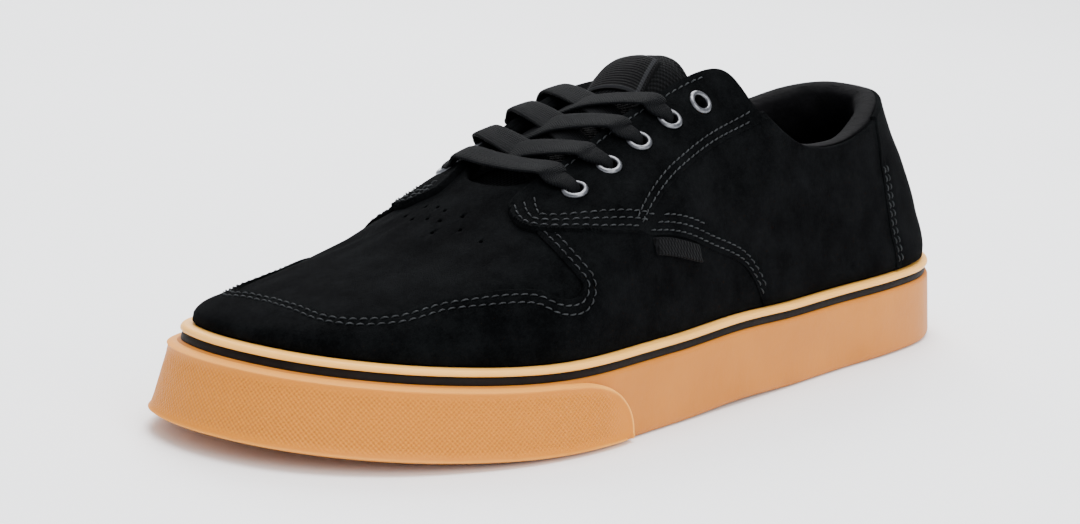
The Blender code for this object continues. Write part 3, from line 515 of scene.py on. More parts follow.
def cap_faces(start, count):
    """Strips across a ring that starts at its heel point, from side to side."""
    faces = [(start, start + 1, start + count - 1)]
    for i in range(1, count // 2 - 1):
        faces.append((start + i, start + i + 1, start + count - i - 1, start + count - i))
    return faces + [(start + count // 2 - 1, start + count // 2, start + count // 2 + 1)]


def end_faces(rings, count):
    """One face over the first ring and one over the last."""
    return [tuple(range(count)), tuple(range((rings - 1) * count, rings * count))]


def map_points(thing, name, places):
    """Gives the piece a map that holds two metres for each of its points."""
    layer = thing.data.uv_layers.new(name=name)
    corners = np.empty(len(thing.data.loops), int)
    thing.data.loops.foreach_get("vertex_index", corners)
    layer.data.foreach_set("uv", np.asarray(places, np.float32)[corners].ravel())


# %% [markdown]
# The sole is a moulded gum cup. Its side leans in towards the top, most at the toe, and ends in a
# rounded ledge. A lathe can't make it, because its outline is a foot's. Its section, a short list of
# insets and heights, is swept around the outline instead, with arcs where the rubber is rounded.

# %% The gum cup
fine_u = np.arange(0, ROWS, 1 / 8)
PER_RING = len(fine_u)
feather = lean(fine_u) + LEDGE_WIDTH - GAP


def swept(section, u=fine_u):
    """Rings around the sole from (share of the lean, inset, height) corners."""
    return [sole_ring(u, lean(u) / FOXING_HEIGHT * height + inset, height) for inset, height in section]


LOW_ROUND = 0.0022
TOP_ROUND = 0.0012
quarter_turn = np.linspace(0.0, 1.57, 6)
cup_section = (
    [(0.006, 0.0)]
    + [(LOW_ROUND * (1 - math.sin(t)), LOW_ROUND * (1 - math.cos(t))) for t in quarter_turn]
    + [(0, h) for h in (0.004, 0.008, 0.012, 0.016)]
    + [(TOP_ROUND * (1 - math.cos(t)), GUM_HEIGHT - TOP_ROUND * (1 - math.sin(t))) for t in quarter_turn]
)
cup_rings = swept(cup_section)
cup_rings += [sole_ring(fine_u, feather, GUM_HEIGHT),
              sole_ring(fine_u, feather, floor_thickness(outline(fine_u)[0][:, 0]))]
cup_faces = ring_faces(len(cup_rings), PER_RING, False)
cup_faces += cap_faces(0, PER_RING) + cap_faces((len(cup_rings) - 1) * PER_RING, PER_RING)
outsole = piece("gum_cup", np.concatenate(cup_rings), cup_faces, gum, ["outsole"])
print("gum cup", len(outsole.data.polygons), "faces")

# %% [markdown]
# Two thin strips of rubber run around the cup's top: a dark one, and a cream one that stands out over
# it. A texture could paint them on the cup, but the step between them catches the light and throws a
# thin shadow. So each is a rounded bead swept around the same leaning side as the cup.

# %% The two strips on the foxing
BEAD_SET = {"pinstripe": 0.0009, "top_strip": 0.0}
THINNER = 0.0007


def strip(name, low, thick, proud, finish, node):
    """A rounded strip around the shoe, from a height, that stands proud of the leaning side."""
    middle = low + thick / 2
    bead = [(proud * (1 - math.cos(t)), middle + thick / 2 * math.sin(t)) for t in np.linspace(-1.5, 1.5, 9)]
    rings = swept([(inset + BEAD_SET[node], height) for inset, height in bead])
    rings += [sole_ring(fine_u, feather, low + thick), sole_ring(fine_u, feather, low)]
    faces = ring_faces(len(rings), PER_RING, True)
    return piece(name, np.concatenate(rings), faces, finish, [node])


strip("dark_strip", GUM_HEIGHT - 0.0001, PINSTRIPE_HEIGHT + 2 * GAP - THINNER, 0.0004,
      pinstripe_rubber, "pinstripe")
strip_low = GUM_HEIGHT + PINSTRIPE_HEIGHT + 2 * GAP - THINNER
strip("cream_strip", strip_low, STRIP_HEIGHT - THINNER, 0.0008, cream, "top_strip")
print("strips at", round(GUM_HEIGHT * 1000, 1), "and", round(strip_low * 1000, 1), "mm over the underside")

# %% [markdown]
# The toe bumper and the suede panels are thin plates of any outline that hug a curved surface. Cutting
# them from the shell with Booleans would leave long thin faces. Here the outline and a grid of inner
# places are joined into even triangles in the flat, then laid on the surface, with the rim rolled down
# as a cut edge is. Rows of points along each seam let the thread pull the leather in.

# %% Lines on the wall
def open_curve(rows, steps=16):
    """Catmull-Rom through the rows of an open table."""
    rows = np.asarray(rows, float)
    padded = np.vstack([2 * rows[0] - rows[1], rows, 2 * rows[-1] - rows[-2]])
    places = np.linspace(1, len(rows), (len(rows) - 1) * steps + 1)
    return along(padded, np.minimum(places, len(rows) - 1e-9))


def mirrored(line):
    """The same line on the shoe's inner side, run the other way."""
    line = np.asarray(line, float)[::-1].copy()
    line[:, 0] = ROWS - line[:, 0]
    return line


def run_along(points):
    """How far along a line of points each of them is."""
    return np.append(0, np.cumsum(np.linalg.norm(np.diff(points, axis=0), axis=1)))


def spaced(line, spacing, surface=wall, keep=25):
    """A line of places about a spacing apart on the surface, with its sharp corners kept."""
    points = surface(line[:, 0], line[:, 1])
    run = run_along(points)
    at = np.linspace(0, run[-1], max(3, round(run[-1] / spacing) + 1))
    step = np.diff(points, axis=0)
    turn = np.einsum("ij,ij->i", unit(step[:-1]), unit(step[1:]))
    for corner in run[1:-1][turn < math.cos(math.radians(keep))]:
        at[np.abs(at - corner).argmin()] = corner
    return np.stack([np.interp(at, run, line[:, k]) for k in range(2)], -1)


# %% Lines beside others, and what lies inside them
def shifted(line, distance):
    """A line on the wall, moved sideways over it by a distance: left of its run is positive."""
    u, v = line.T
    by_u, by_v = slopes(u, v)
    step = np.gradient(line, axis=0)
    run = by_u * step[:, :1] + by_v * step[:, 1:]
    side = unit(np.cross(unit(np.cross(by_v, by_u)), run)) * distance
    uu, uv, vv = (np.einsum("ij,ij->i", a, b) for a, b in ((by_u, by_u), (by_u, by_v), (by_v, by_v)))
    su, sv = (np.einsum("ij,ij->i", side, b) for b in (by_u, by_v))
    size = uu * vv - uv * uv
    return line + np.stack([vv * su - uv * sv, uu * sv - uv * su], -1) / size[:, None]


def nearest(samples, points):
    """How far each point is from the nearest sample."""
    tree = kdtree.KDTree(len(samples))
    for i, p in enumerate(samples):
        tree.insert(p, i)
    tree.balance()
    return np.array([tree.find(p)[2] for p in points])


def within(edge, places):
    """Which places lie inside a closed line of places."""
    inside = np.zeros(len(places), bool)
    for a, b in zip(edge, np.roll(edge, -1, 0)):
        spans = (a[1] > places[:, 1]) != (b[1] > places[:, 1])
        slope = (b[0] - a[0]) / (b[1] - a[1]) if b[1] != a[1] else 0
        inside ^= spans & (places[:, 0] < a[0] + slope * (places[:, 1] - a[1]))
    return inside


# %% What a plate is built from
RIM_SPACING = 0.0011
SEAM_SPACING = 0.0012
RAIL = 0.0008
SEAM_PULL = 0.00035
SEAM_WIDTH = 0.0009
TUCK = 0.0002


def rim_rings(loop, flat_scale, roll):
    """Three rings of places inside a loop, as far in as its rim rolls down."""
    flat = loop * flat_scale
    turned = np.sign(np.sum(flat[:, 0] * np.roll(flat[:, 1], -1) - flat[:, 1] * np.roll(flat[:, 0], -1)))
    ahead = unit(np.roll(flat, -1, 0) - np.roll(flat, 1, 0))
    inward = np.stack([-ahead[:, 1], ahead[:, 0]], -1) * turned
    return [(flat + inward * d) / flat_scale for d in (roll * 0.35, roll, roll * 1.8)]


def grid_inside(loop, flat_scale, spacing):
    """An even grid of places inside a loop."""
    low, high = loop.min(0), loop.max(0)
    counts = np.maximum(2, np.round((high - low) * flat_scale / spacing)).astype(int)
    grid = np.stack(np.meshgrid(*(np.linspace(low[k], high[k], counts[k] + 1) for k in range(2))), -1)
    grid = grid.reshape(-1, 2)
    return grid[within(loop, grid)]


def rim_rise(from_rim, thickness, roll, bead):
    """The plate's height by the distance from its rim: rounded down there, with a bead if it has one."""
    t = np.clip(from_rim / roll, 0, 1)
    rise = thickness * (0.40 + 0.60 * np.sqrt(1 - (1 - t) ** 2))
    return rise + bead * np.exp(-(((from_rim - roll * 1.1) / (roll * 0.6)) ** 2))


# %% A plate with a rolled rim and pulled-in seams
def plate(name, boundary, surface, base, thickness, finish, nodes, seams=(), spacing=0.0018,
          roll=0.0008, bead=0.0, flat_scale=SCALE, relief_share=1.0):
    """Lays a plate on a surface that takes (u, v, offset). Seams are lines of places."""
    def ground_at(places):
        return surface(places[:, 0], places[:, 1], np.full(len(places), base))

    closed = np.vstack([boundary, boundary[:1]])
    loop = spaced(closed, RIM_SPACING, lambda u, v: surface(u, v, 0.0 * u))[:-1]
    loop_points = ground_at(loop)
    seam_lines = [spaced(line, SEAM_SPACING) for line in seams]
    rails = [shifted(line, d) for line in seam_lines for d in (-RAIL, 0.0, RAIL)]
    centre = np.vstack([ground_at(line) for line in seam_lines]) if seams else loop_points[:1] + 1.0
    grid = grid_inside(loop, flat_scale, spacing)
    far_from_rim = nearest(loop_points, ground_at(grid)) > roll * 1.8 + spacing * 0.5
    far_from_seam = nearest(centre, ground_at(grid)) > RAIL + spacing * 0.6
    inner = np.vstack([grid[far_from_rim & far_from_seam], *rim_rings(loop, flat_scale, roll), *rails])
    inner = inner[within(loop, inner)]
    places = np.vstack([loop, inner]) * flat_scale
    ring = [(i, (i + 1) % len(loop)) for i in range(len(loop))]
    found = geometry.delaunay_2d_cdt([Vector(p) for p in places], ring, [list(range(len(loop)))], 1, 1e-7)
    places = np.array([tuple(p) for p in found[0]]) / flat_scale
    triangles = [tuple(f) for f in found[2]]
    bottom = ground_at(places)
    from_rim = nearest(loop_points, bottom)
    pull = SEAM_PULL * np.exp(-((nearest(centre, bottom) / SEAM_WIDTH) ** 2))
    follow = base + relief_share * relief(places[:, 0], places[:, 1])
    rise = rim_rise(from_rim, thickness, roll, bead)
    top = surface(places[:, 0], places[:, 1], follow + rise - pull)
    low_side = surface(places[:, 0], places[:, 1], follow - TUCK)
    shift = len(places)
    faces = triangles + [tuple(k + shift for k in reversed(f)) for f in triangles]
    faces += [(b, a, a + shift, b + shift) for a, b in ring]
    thing = piece(name, np.vstack([top, low_side]), faces, finish, nodes, smooth=50)
    print(name, len(thing.data.polygons), "faces,", len(seams), "seams")
    return thing, places, from_rim


# %% [markdown]
# The bumper is a second layer of gum around the toe, as high as the cup, with a smooth bead along its
# rim. It could be joined to the cup as one mesh, but then its edge would blur. As a plate of its own it
# keeps a crisp step, and its two maps give the hatch its place: one measures around the toe and up the
# side, the other how far it is to the rim and to the bumper's ends.

# %% The toe bumper
BUMPER_THICKNESS = 0.0018
BUMPER_BEAD = 0.0007


def gum_side(u, share, offset):
    """The gum cup's outer face at a share of its height, moved out by an offset."""
    height = 0.0004 + share * (GUM_HEIGHT - 0.0008)
    return sole_ring(u, lean(u) * height / FOXING_HEIGHT - offset, height)


def along_side(u):
    """How far around the sole's edge a row number lies, in metres."""
    rows = np.linspace(0, ROWS, 521)
    return np.interp(u, rows, run_along(outline(rows)[0]))


bumper_end = open_curve([(8.42, 1.00), (8.02, 0.95), (7.72, 0.80), (7.54, 0.56), (7.46, 0.30),
                         (7.45, 0.02)])
bumper_loop = np.vstack([bumper_end, mirrored(bumper_end)])
bumper, bumper_places, bumper_rim = plate(
    "toe_bumper_hatched", bumper_loop, gum_side, 0.0, BUMPER_THICKNESS, hatched,
    ["toe_bumper"], spacing=0.0020, roll=0.0008, bead=BUMPER_BEAD,
    flat_scale=np.array([ROW_LENGTH, GUM_HEIGHT]), relief_share=0.0)
bumper_run = along_side(bumper_places[:, 0])
bumper_side = np.stack([bumper_run, bumper_places[:, 1] * GUM_HEIGHT], -1)
map_points(bumper, "side", np.tile(bumper_side, (2, 1)))
from_end = np.minimum(bumper_run - bumper_run.min(), bumper_run.max() - bumper_run)
map_points(bumper, "rim", np.tile(np.stack([bumper_rim, from_end], -1), (2, 1)))

# %% [markdown]
# The upper is one hollow wall of suede with a smooth lining inside. Its outer face shows only on the
# vamp, in front of the throat; the panels cover the rest. The shell is swept ring by ring from the
# surface, with real thickness. Small vent holes are punched through the vamp, and holes for the eyelets,
# by one Boolean each: it's slower than a dark dot, but light passes through a real hole.

# %% The hollow upper
upper_u = np.arange(0, ROWS, 1 / 8)
upper_v = np.concatenate([[-1.0, -0.5], np.linspace(0, 1, 34)])


def shell(offset, relief_share, shares):
    grid_u, grid_v = np.meshgrid(upper_u, shares)
    return list(skin(grid_u, grid_v, offset + relief_share * relief(grid_u, grid_v)))


shell_rings = shell(0.0, 1.0, upper_v) + shell(-WALL, 1.0, upper_v[::-1])
upper = piece("suede_upper", np.concatenate(shell_rings),
              ring_faces(len(shell_rings), len(upper_u), True), suede, ["upper"], smooth=180)
upper.data.materials.append(lining.material)
outside_faces = len(upper_v) * len(upper_u)
for face in upper.data.polygons[outside_faces:]:
    face.material_index = 1
print("upper", len(shell_rings), "rings of", len(upper_u), "points")


# %% Places under a point seen from above
CLEARANCE = 0.0024


def over_plan(x, y):
    """Row and share of the wall's place above a plan point, by Newton's steps from a near one."""
    rows, shares = np.meshgrid(np.linspace(FLAP_ROW, ROWS - FLAP_ROW, 60), np.linspace(0.3, 1, 13))
    known = wall(rows, shares)[..., :2].reshape(-1, 2)
    aim = np.stack(np.broadcast_arrays(x, y), -1)
    near = np.linalg.norm(aim[..., None, :] - known, axis=-1).argmin(-1)
    u, v = rows.ravel()[near], shares.ravel()[near]
    for _ in range(5):
        here = wall(u, v)[..., :2]
        by_u = (wall(u + 1e-3, v)[..., :2] - here) / 1e-3
        by_v = (wall(u, v + 1e-3)[..., :2] - here) / 1e-3
        miss = aim - here
        size = by_u[..., 0] * by_v[..., 1] - by_u[..., 1] * by_v[..., 0]
        u = u + np.clip((miss[..., 0] * by_v[..., 1] - miss[..., 1] * by_v[..., 0]) / size, -0.3, 0.3)
        v = v + np.clip((by_u[..., 0] * miss[..., 1] - by_u[..., 1] * miss[..., 0]) / size, -0.1, 0.1)
    return u, v


def underside(u, v):
    """Height at which a piece lies clear under the wall."""
    rise = (skin(u, v, 1.0) - wall(u, v))[..., 2]
    return wall(u, v)[..., 2] - (WALL + CLEARANCE) / rise


def throat(x, side):
    """The opening's half width at x, and the height clear under its edge; side is 1 or -1."""
    rows = np.linspace(FLAP_ROW, TOE_ROW, 80)
    rows = rows if side > 0 else ROWS - rows
    edge = wall(rows, 1.0)
    return np.interp(x, edge[:, 0], side * edge[:, 1]), np.interp(x, edge[:, 0], underside(rows, 1.0))


def turned_to(u, v, offset):
    """A matrix, measured from the heel, that stands a piece made along Z on the wall at a place."""
    normal = Vector(skin(u, v, 1.0) - wall(u, v))
    turn = normal.to_track_quat("Z", "Y").to_matrix().to_4x4()
    return Matrix.Translation(Vector(skin(u, v, offset))) @ turn


# %% Holes for the eyelets and the vents
EYELETS = 5
eyelet_x = 0.1930 - 0.0143 * np.arange(EYELETS)
EYELET_INSETS = np.linspace(0.0115, 0.0068, EYELETS)
eyelet_rows, eyelet_shares = over_plan(eyelet_x, throat(eyelet_x, 1)[0] + EYELET_INSETS)
eyelet_seats = [(float(u) if side > 0 else ROWS - float(u), float(v), side, k)
                for side in (1, -1) for k, (u, v) in enumerate(zip(eyelet_rows, eyelet_shares))]
VENTS = [(13.2, 0.90), (12.8, 0.865), (12.52, 0.82), (12.12, 0.89), (11.64, 0.835), (10.52, 0.75),
         (13.55, 0.86), (13.9, 0.90), (14.4, 0.83), (14.9, 0.87), (15.3, 0.80)]
VENT_RADIUS = 0.00065
VENT_DEPTH = 0.006
EYELET_HOLE = 0.0024
EYELET_DEPTH = 0.009


def punch(thing, seats, radius, depth):
    """Cuts a round hole through a piece at each seat, with one joined cutter."""
    form = bmesh.new()
    for matrix in seats:
        bmesh.ops.create_cone(form, cap_ends=True, segments=16, radius1=radius, radius2=radius,
                              depth=depth, matrix=Matrix.Translation(Vector(-ORIGIN)) @ matrix)
    mesh = bpy.data.meshes.new("hole_cutter")
    form.to_mesh(mesh)
    form.free()
    cutter = bpy.data.objects.new("hole_cutter", mesh)
    bpy.context.scene.collection.objects.link(cutter)
    cut = thing.modifiers.new("holes", "BOOLEAN")
    cut.object = cutter
    cut.operation = "DIFFERENCE"
    cut.solver = "EXACT"
    bpy.context.view_layer.update()
    shape = thing.evaluated_get(bpy.context.evaluated_depsgraph_get())
    cut_mesh = bpy.data.meshes.new_from_object(shape)
    thing.modifiers.clear()
    thing.data = cut_mesh
    bpy.data.objects.remove(cutter)


punch(upper, [turned_to(u, v, 0.0) for u, v, _, _ in eyelet_seats], EYELET_HOLE, EYELET_DEPTH)
punch(upper, [turned_to(u, v, 0.0) for u, v in VENTS], VENT_RADIUS, VENT_DEPTH)
print("upper", len(upper.data.polygons), "faces,", len(eyelet_seats), "eyelet holes,", len(VENTS), "vents")

# %% [markdown]
# The panels are sewn on in layers: the rand around the toe, then the quarters, the heel piece and the
# eyestays. Each has a cut edge and two or three rows of thread beside it. They could be cut from the
# wall's own faces, but then every edge would follow the wall's rows. Their outlines are short lists of
# places on the wall instead, and the inner side mirrors the outer one.

# %% Edges of the panels, as rows and shares of the wall
vamp_edge = open_curve([(9.12, 0.625), (8.80, 0.515), (8.44, 0.390), (8.20, 0.300), (8.05, 0.240),
                        (8.10, 0.200), (8.35, 0.215), (8.68, 0.280), (9.00, 0.320), (9.50, 0.350),
                        (10.10, 0.365), (10.60, 0.315), (11.20, 0.295), (11.80, 0.310),
                        (12.40, 0.350), (13.00, 0.370)])
stay_lower = open_curve([(10.55, 0.905), (9.96, 0.800), (9.20, 0.645), (8.32, 0.495), (7.33, 0.350)])
stay_tip = open_curve([(9.95, 1.0), (10.28, 0.975), (10.52, 0.945), (10.55, 0.905)])
stay_back = open_curve([(7.33, 0.350), (7.22, 0.445), (7.07, 0.530), (6.87, 0.610), (6.62, 0.715),
                        (6.26, 0.850), (5.85, 1.000)])
quarter_lower = open_curve([(7.33, 0.350), (7.10, 0.320), (6.44, 0.302), (5.72, 0.230), (5.42, 0.130),
                            (5.26, 0.000)])
heel_edge = open_curve([(2.86, 0.000), (2.87, 0.300), (2.80, 0.600), (2.62, 0.850), (2.50, 1.000)])


# %% Outlines of the panels
LAP = 0.0025
FOOT = -0.06


def joined(*edges):
    """One closed outline from edges that follow each other, without doubled corners."""
    return np.concatenate([np.asarray(edge, float)[:-1] for edge in edges])


lower_edge = np.vstack([stay_lower, quarter_lower[1:]])
under_edge = shifted(lower_edge[lower_edge[:, 0] < vamp_edge[0, 0]], LAP)[::-1]
under_edge_up = under_edge[under_edge[:, 1] > 0]
foot = np.array([(under_edge[0, 0], FOOT)])
rand_outline = joined(np.vstack([foot, under_edge_up, vamp_edge[:1]]), vamp_edge, mirrored(vamp_edge),
                      np.vstack([mirrored(under_edge_up), (ROWS - foot[0, 0], FOOT), foot[0]]))
under_stay = shifted(stay_back, LAP)
under_heel = shifted(heel_edge, -LAP)
quarter_foot = [(quarter_lower[-1, 0], FOOT), (under_heel[0, 0], FOOT)]
quarter_outline = joined(quarter_lower, [quarter_lower[-1], *quarter_foot, under_heel[0]], under_heel,
                         [under_heel[-1], under_stay[-1]], under_stay[::-1],
                         [under_stay[0], quarter_lower[0]])
around = mirrored(heel_edge) - (ROWS, 0)
heel_outline = joined(heel_edge, [heel_edge[-1], around[0]], around,
                      [around[-1], (around[-1, 0], FOOT), (heel_edge[0, 0], FOOT), heel_edge[0]])
stay_outline = joined(stay_tip, stay_lower, stay_back, [stay_back[-1], stay_tip[0]])
print("outlines of", len(rand_outline), len(quarter_outline), len(heel_outline), len(stay_outline), "places")

# %% [markdown]
# Thread runs in rows beside the edges: two along the rand, the heel piece and the eyestay's back, and
# three along the eyestay's lower edge. They could be drawn one by one, but each row is simply the edge
# moved sideways over the wall, so that it stays beside it whatever the shape.

# %% Where the thread runs
FIRST_ROW = 0.0019
ROW_SPACING = 0.0024


def rows_beside(line, count, side):
    return [shifted(line, side * (FIRST_ROW + k * ROW_SPACING)) for k in range(count)]


def part_of(line, start, end):
    """A line between two shares of its length."""
    run = run_along(wall(line[:, 0], line[:, 1]))
    at = np.linspace(start, end, 120) * run[-1]
    return np.stack([np.interp(at, run, line[:, k]) for k in range(2)], -1)


whole_vamp = np.vstack([vamp_edge, mirrored(vamp_edge)[1:]])
rand_seams = rows_beside(whole_vamp, 2, 1)
lower_rows = rows_beside(lower_edge, 3, 1)
stay_share = run_along(wall(*stay_lower.T))[-1] / run_along(wall(*lower_edge.T))[-1]
stay_seams = [part_of(line, 0.01, stay_share - 0.012) for line in lower_rows]
stay_seams += [part_of(line, 0.03, 0.93) for line in rows_beside(stay_back, 2, 1)]
throat_edge = np.vstack([np.stack([np.linspace(7.25, 9.95, 30), np.full(30, 1.0)], -1), stay_tip[1:8]])
stay_seams += [shifted(throat_edge, 0.0024)]
quarter_seams = [part_of(lower_rows[0], stay_share + 0.012, 0.985),
                 part_of(lower_rows[1], stay_share + 0.012, 0.985),
                 part_of(lower_rows[2], stay_share + 0.012, stay_share + 0.20)]
heel_seams = [part_of(line, 0.02, 0.72) for line in rows_beside(heel_edge, 2, -1)]
print("seam length", round(sum(run_along(wall(*s.T))[-1] for s in rand_seams + stay_seams) * 1000), "mm")

# %% The suede panels
RAND, QUARTER, EYESTAY, HEEL = 0.0007, 0.0012, 0.0018, 0.0018
SEAT = 0.0003
plate("suede_rand", rand_outline, skin, SEAT, RAND, suede, ["toe_rand"], rand_seams)
plate("suede_heel", heel_outline, skin, SEAT, HEEL, suede, ["heel_counter"],
      heel_seams + [mirrored(s) - (ROWS, 0) for s in heel_seams])
for side, turn in (("outer", lambda line: line), ("inner", mirrored)):
    plate(f"suede_quarter_{side}", turn(quarter_outline), skin, SEAT, QUARTER, suede,
          [f"quarter_{side}"], [turn(s) for s in quarter_seams])
    eyestay = plate(f"suede_eyestay_{side}", turn(stay_outline), skin, SEAT, EYESTAY, suede,
                    [f"eyestay_{side}"], [turn(s) for s in stay_seams])[0]
    seats = [turned_to(u, v, 0.0) for u, v, s, _ in eyelet_seats if (s > 0) == (side == "outer")]
    punch(eyestay, seats, EYELET_HOLE, EYELET_DEPTH)

# %% [markdown]
# Each stitch is a short bead of thread that dives into the leather at both ends. A line of dashes in
# the colour would lie flat. Here one small tube is copied along every seam, a little slanted as a
# lockstitch is, and all the stitches of a panel are one mesh.

# %% Stitches
PITCH = 0.0029
STITCH = 0.0022
THREAD = 0.00023
SUNK = 0.00032
RAISED = 0.0004
SLANT = 0.00012
SIDES = 6
STEPS = 6


def stitched(name, seams, level):
    """Stitches along lines on the wall, on leather whose face is a level over it."""
    rings = []
    for line in seams:
        run = run_along(wall(*line.T))
        starts = np.arange(0.0004, run[-1] - STITCH, PITCH)
        share = np.linspace(0, 1, STEPS)
        at = starts[:, None] + share * STITCH
        u, v = (np.interp(at, run, line[:, k]) for k in range(2))
        height = level + relief(u, v) - SUNK + RAISED * np.sin(np.pi * share) ** 0.6
        centre = skin(u, v, height)
        up = unit(skin(u, v, 1.0) - wall(u, v))
        ahead = unit(centre[:, -1:] - centre[:, :1])
        across = np.cross(up, ahead)
        centre = centre + across * (SLANT * (share[:, None] * 2 - 1))
        girth = THREAD * (0.45 + 0.55 * np.sin(np.pi * share) ** 0.5)
        angle = 2 * np.pi * np.arange(SIDES) / SIDES
        ring = (across[:, :, None] * np.cos(angle)[:, None] + up[:, :, None] * np.sin(angle)[:, None])
        rings.append(centre[:, :, None] + ring * girth[None, :, None, None])
    points = np.concatenate([r.reshape(-1, 3) for r in rings])
    count = len(points) // (SIDES * STEPS)
    tube = ring_faces(STEPS, SIDES, False) + end_faces(STEPS, SIDES)
    faces = [tuple(k + n * SIDES * STEPS for k in f) for n in range(count) for f in tube]
    piece(name, points, faces, thread, smooth=180)
    print(name, count, "stitches")


stitched("rand_stitches", rand_seams, SEAT + RAND)
stitched("heel_stitches", heel_seams + [mirrored(s) for s in heel_seams], SEAT + HEEL)
stitched("quarter_stitches", quarter_seams + [mirrored(s) for s in quarter_seams], SEAT + QUARTER)
stitched("eyestay_stitches", stay_seams + [mirrored(s) for s in stay_seams], SEAT + EYESTAY)

# %% [markdown]
# The collar is a roll of foam under a smooth lining that folds over the wall's top edge and runs down
# inside. Its section is a closed loop of places off the wall, swept along the opening from one front
# corner to the other. Cloth simulation would round it much the same way, but it would also lift it off
# the suede, so the roll is drawn from a given section: fullest at the top, pulled in where it's sewn down.

# %% The padded collar's section
COLLAR_ROW = 5.5
ROLL = [(-9.0, 0.05), (-0.6, 0.12), (0.5, 0.38), (1.3, 0.10), (1.9, -0.8), (2.2, -2.1), (2.1, -3.6),
        (1.5, -5.0), (0.2, -6.3), (-2.2, -7.2), (-5.5, -7.7), (-10.0, -7.5), (-15.0, -6.4), (-20.0, -4.9),
        (-24.0, -3.9), (-26.0, -3.4), (-28.5, -4.0), (-32.0, -3.9), (-35.0, -3.2), (-35.0, -2.2),
        (-20.0, -2.1), (-10.0, -1.9)]
collar_u = np.arange(-COLLAR_ROW, COLLAR_ROW + 0.01, 1 / 8)


def roll_section(steps=5):
    """The section's rise over the edge and depth behind the wall, in metres, as a smooth closed loop."""
    return along(np.array(ROLL) / 1000, np.linspace(0, len(ROLL), len(ROLL) * steps, endpoint=False))


section = roll_section()
print("collar section", len(section), "points")

# %% The padded collar
ends = ease(COLLAR_ROW - np.abs(collar_u), -0.15, 1.1)[:, None]
back = 1 - ease(np.abs(collar_u), 1.0, 3.5)[:, None]
rise = section[:, 0] * np.where(section[:, 0] > 0, 0.30 + 0.30 * ends + 0.10 * back, 1.0)
depth = np.where(section[:, 1] < -0.0022, -0.0022 + (section[:, 1] + 0.0022) * (0.15 + 0.85 * ends),
                 section[:, 1])
collar_v = 1 + rise / WALL_LENGTH
FOLD = 0.00025
folds = FOLD * np.sin(collar_u * 5.1)[:, None] * np.sin(collar_v * 23.0) * (depth < -0.004)
collar_points = skin(collar_u[:, None], collar_v, depth + folds)
steps = collar_points.shape[1]
collar_faces = ring_faces(len(collar_u), steps, False) + end_faces(len(collar_u), steps)
collar = piece("padded_collar", collar_points.reshape(-1, 3), collar_faces, lining,
               ["collar_lining"], smooth=60)
print("collar", len(collar_faces), "faces, crest", round(float(rise.max()) * 1000, 1), "mm over the edge")

# %% [markdown]
# The tongue is a flat pad of knitted textile over foam. It lies under the vamp and the flaps, arches a
# little across the open throat and rises to its free end. A box with rounded edges would cut through
# the flaps, so its face is worked out from the wall itself: clear under it, and arched where it's open.

# %% The tongue's face
TONGUE_THICKNESS = 0.0050
front_x = wall(float(TOE_ROW), 1.0)[0]
flap_x = wall(float(FLAP_ROW), 1.0)[0]


def tongue_top(x, y):
    """Height of the tongue's outer face: under the wall, and arched across the open throat."""
    beyond = np.maximum(flap_x - x, 0)
    x = np.maximum(x, flap_x + 0.0005)
    u, v = over_plan(x, y)
    left, left_height = throat(x, 1)
    right, right_height = throat(x, -1)
    share = (y + right) / np.maximum(left + right, 0.0005)
    arch = 0.0045 * 4 * share * (1 - share) * ease(front_x - x, 0, 0.020)
    puff = 0.0100 * (1 - np.abs(2 * share - 1) ** 3.5) * ease(flap_x + 0.032 - x, 0, 0.018)
    open_height = right_height + (left_height - right_height) * share + arch + puff
    inside = (share > 0) & (share < 1) & (x < front_x)
    return np.where(inside, open_height, underside(u, np.minimum(v, 1))) - beyond * 0.4


def tongue_face(along_share, across_share):
    """Points of the tongue's outer face; along 0 under the vamp to 1 at its free end."""
    x = front_x + 0.012 + (flap_x + 0.006 - front_x - 0.012) * along_share
    width = 0.040 + 0.014 * along_share
    corner = np.clip((np.abs(2 * along_share - 1) - 0.75) / 0.25, 0, 1)
    y = across_share * width / 2 * (1 - 0.36 * corner**2)
    return np.stack([x, y, tongue_top(x, y)], -1)


def grid_normals(grid):
    """The upward normals of a grid of points."""
    normal = unit(np.cross(np.gradient(grid, axis=0), np.gradient(grid, axis=1)))
    return normal * np.sign(normal[..., 2:3])


# %% The padded tongue
RUNS, SPANS = 97, 57


def rounded(share, power):
    """1 in the middle, and falling in a round towards -1 and 1."""
    return np.sqrt(np.clip(1 - np.abs(share) ** power, 0.01, 1))


runs, spans = np.meshgrid(np.linspace(0, 1, RUNS), np.linspace(-1, 1, SPANS), indexing="ij")
face = tongue_face(runs, spans)
face_normals = grid_normals(face)
pad = rounded(spans, 7) * rounded(2 * runs - 1, 26)
binding = 0.0006 * (np.exp(-((np.abs(spans) - 0.84) / 0.035) ** 2) * (runs < 0.955)
                    + np.exp(-((runs - 0.965) / 0.010) ** 2) * (np.abs(spans) < 0.84))
middle = face - face_normals * TONGUE_THICKNESS / 2
tongue_over = middle + face_normals * (TONGUE_THICKNESS / 2 * pad - binding)[..., None]
tongue_under = middle - face_normals * (TONGUE_THICKNESS / 2 * pad)[..., None]


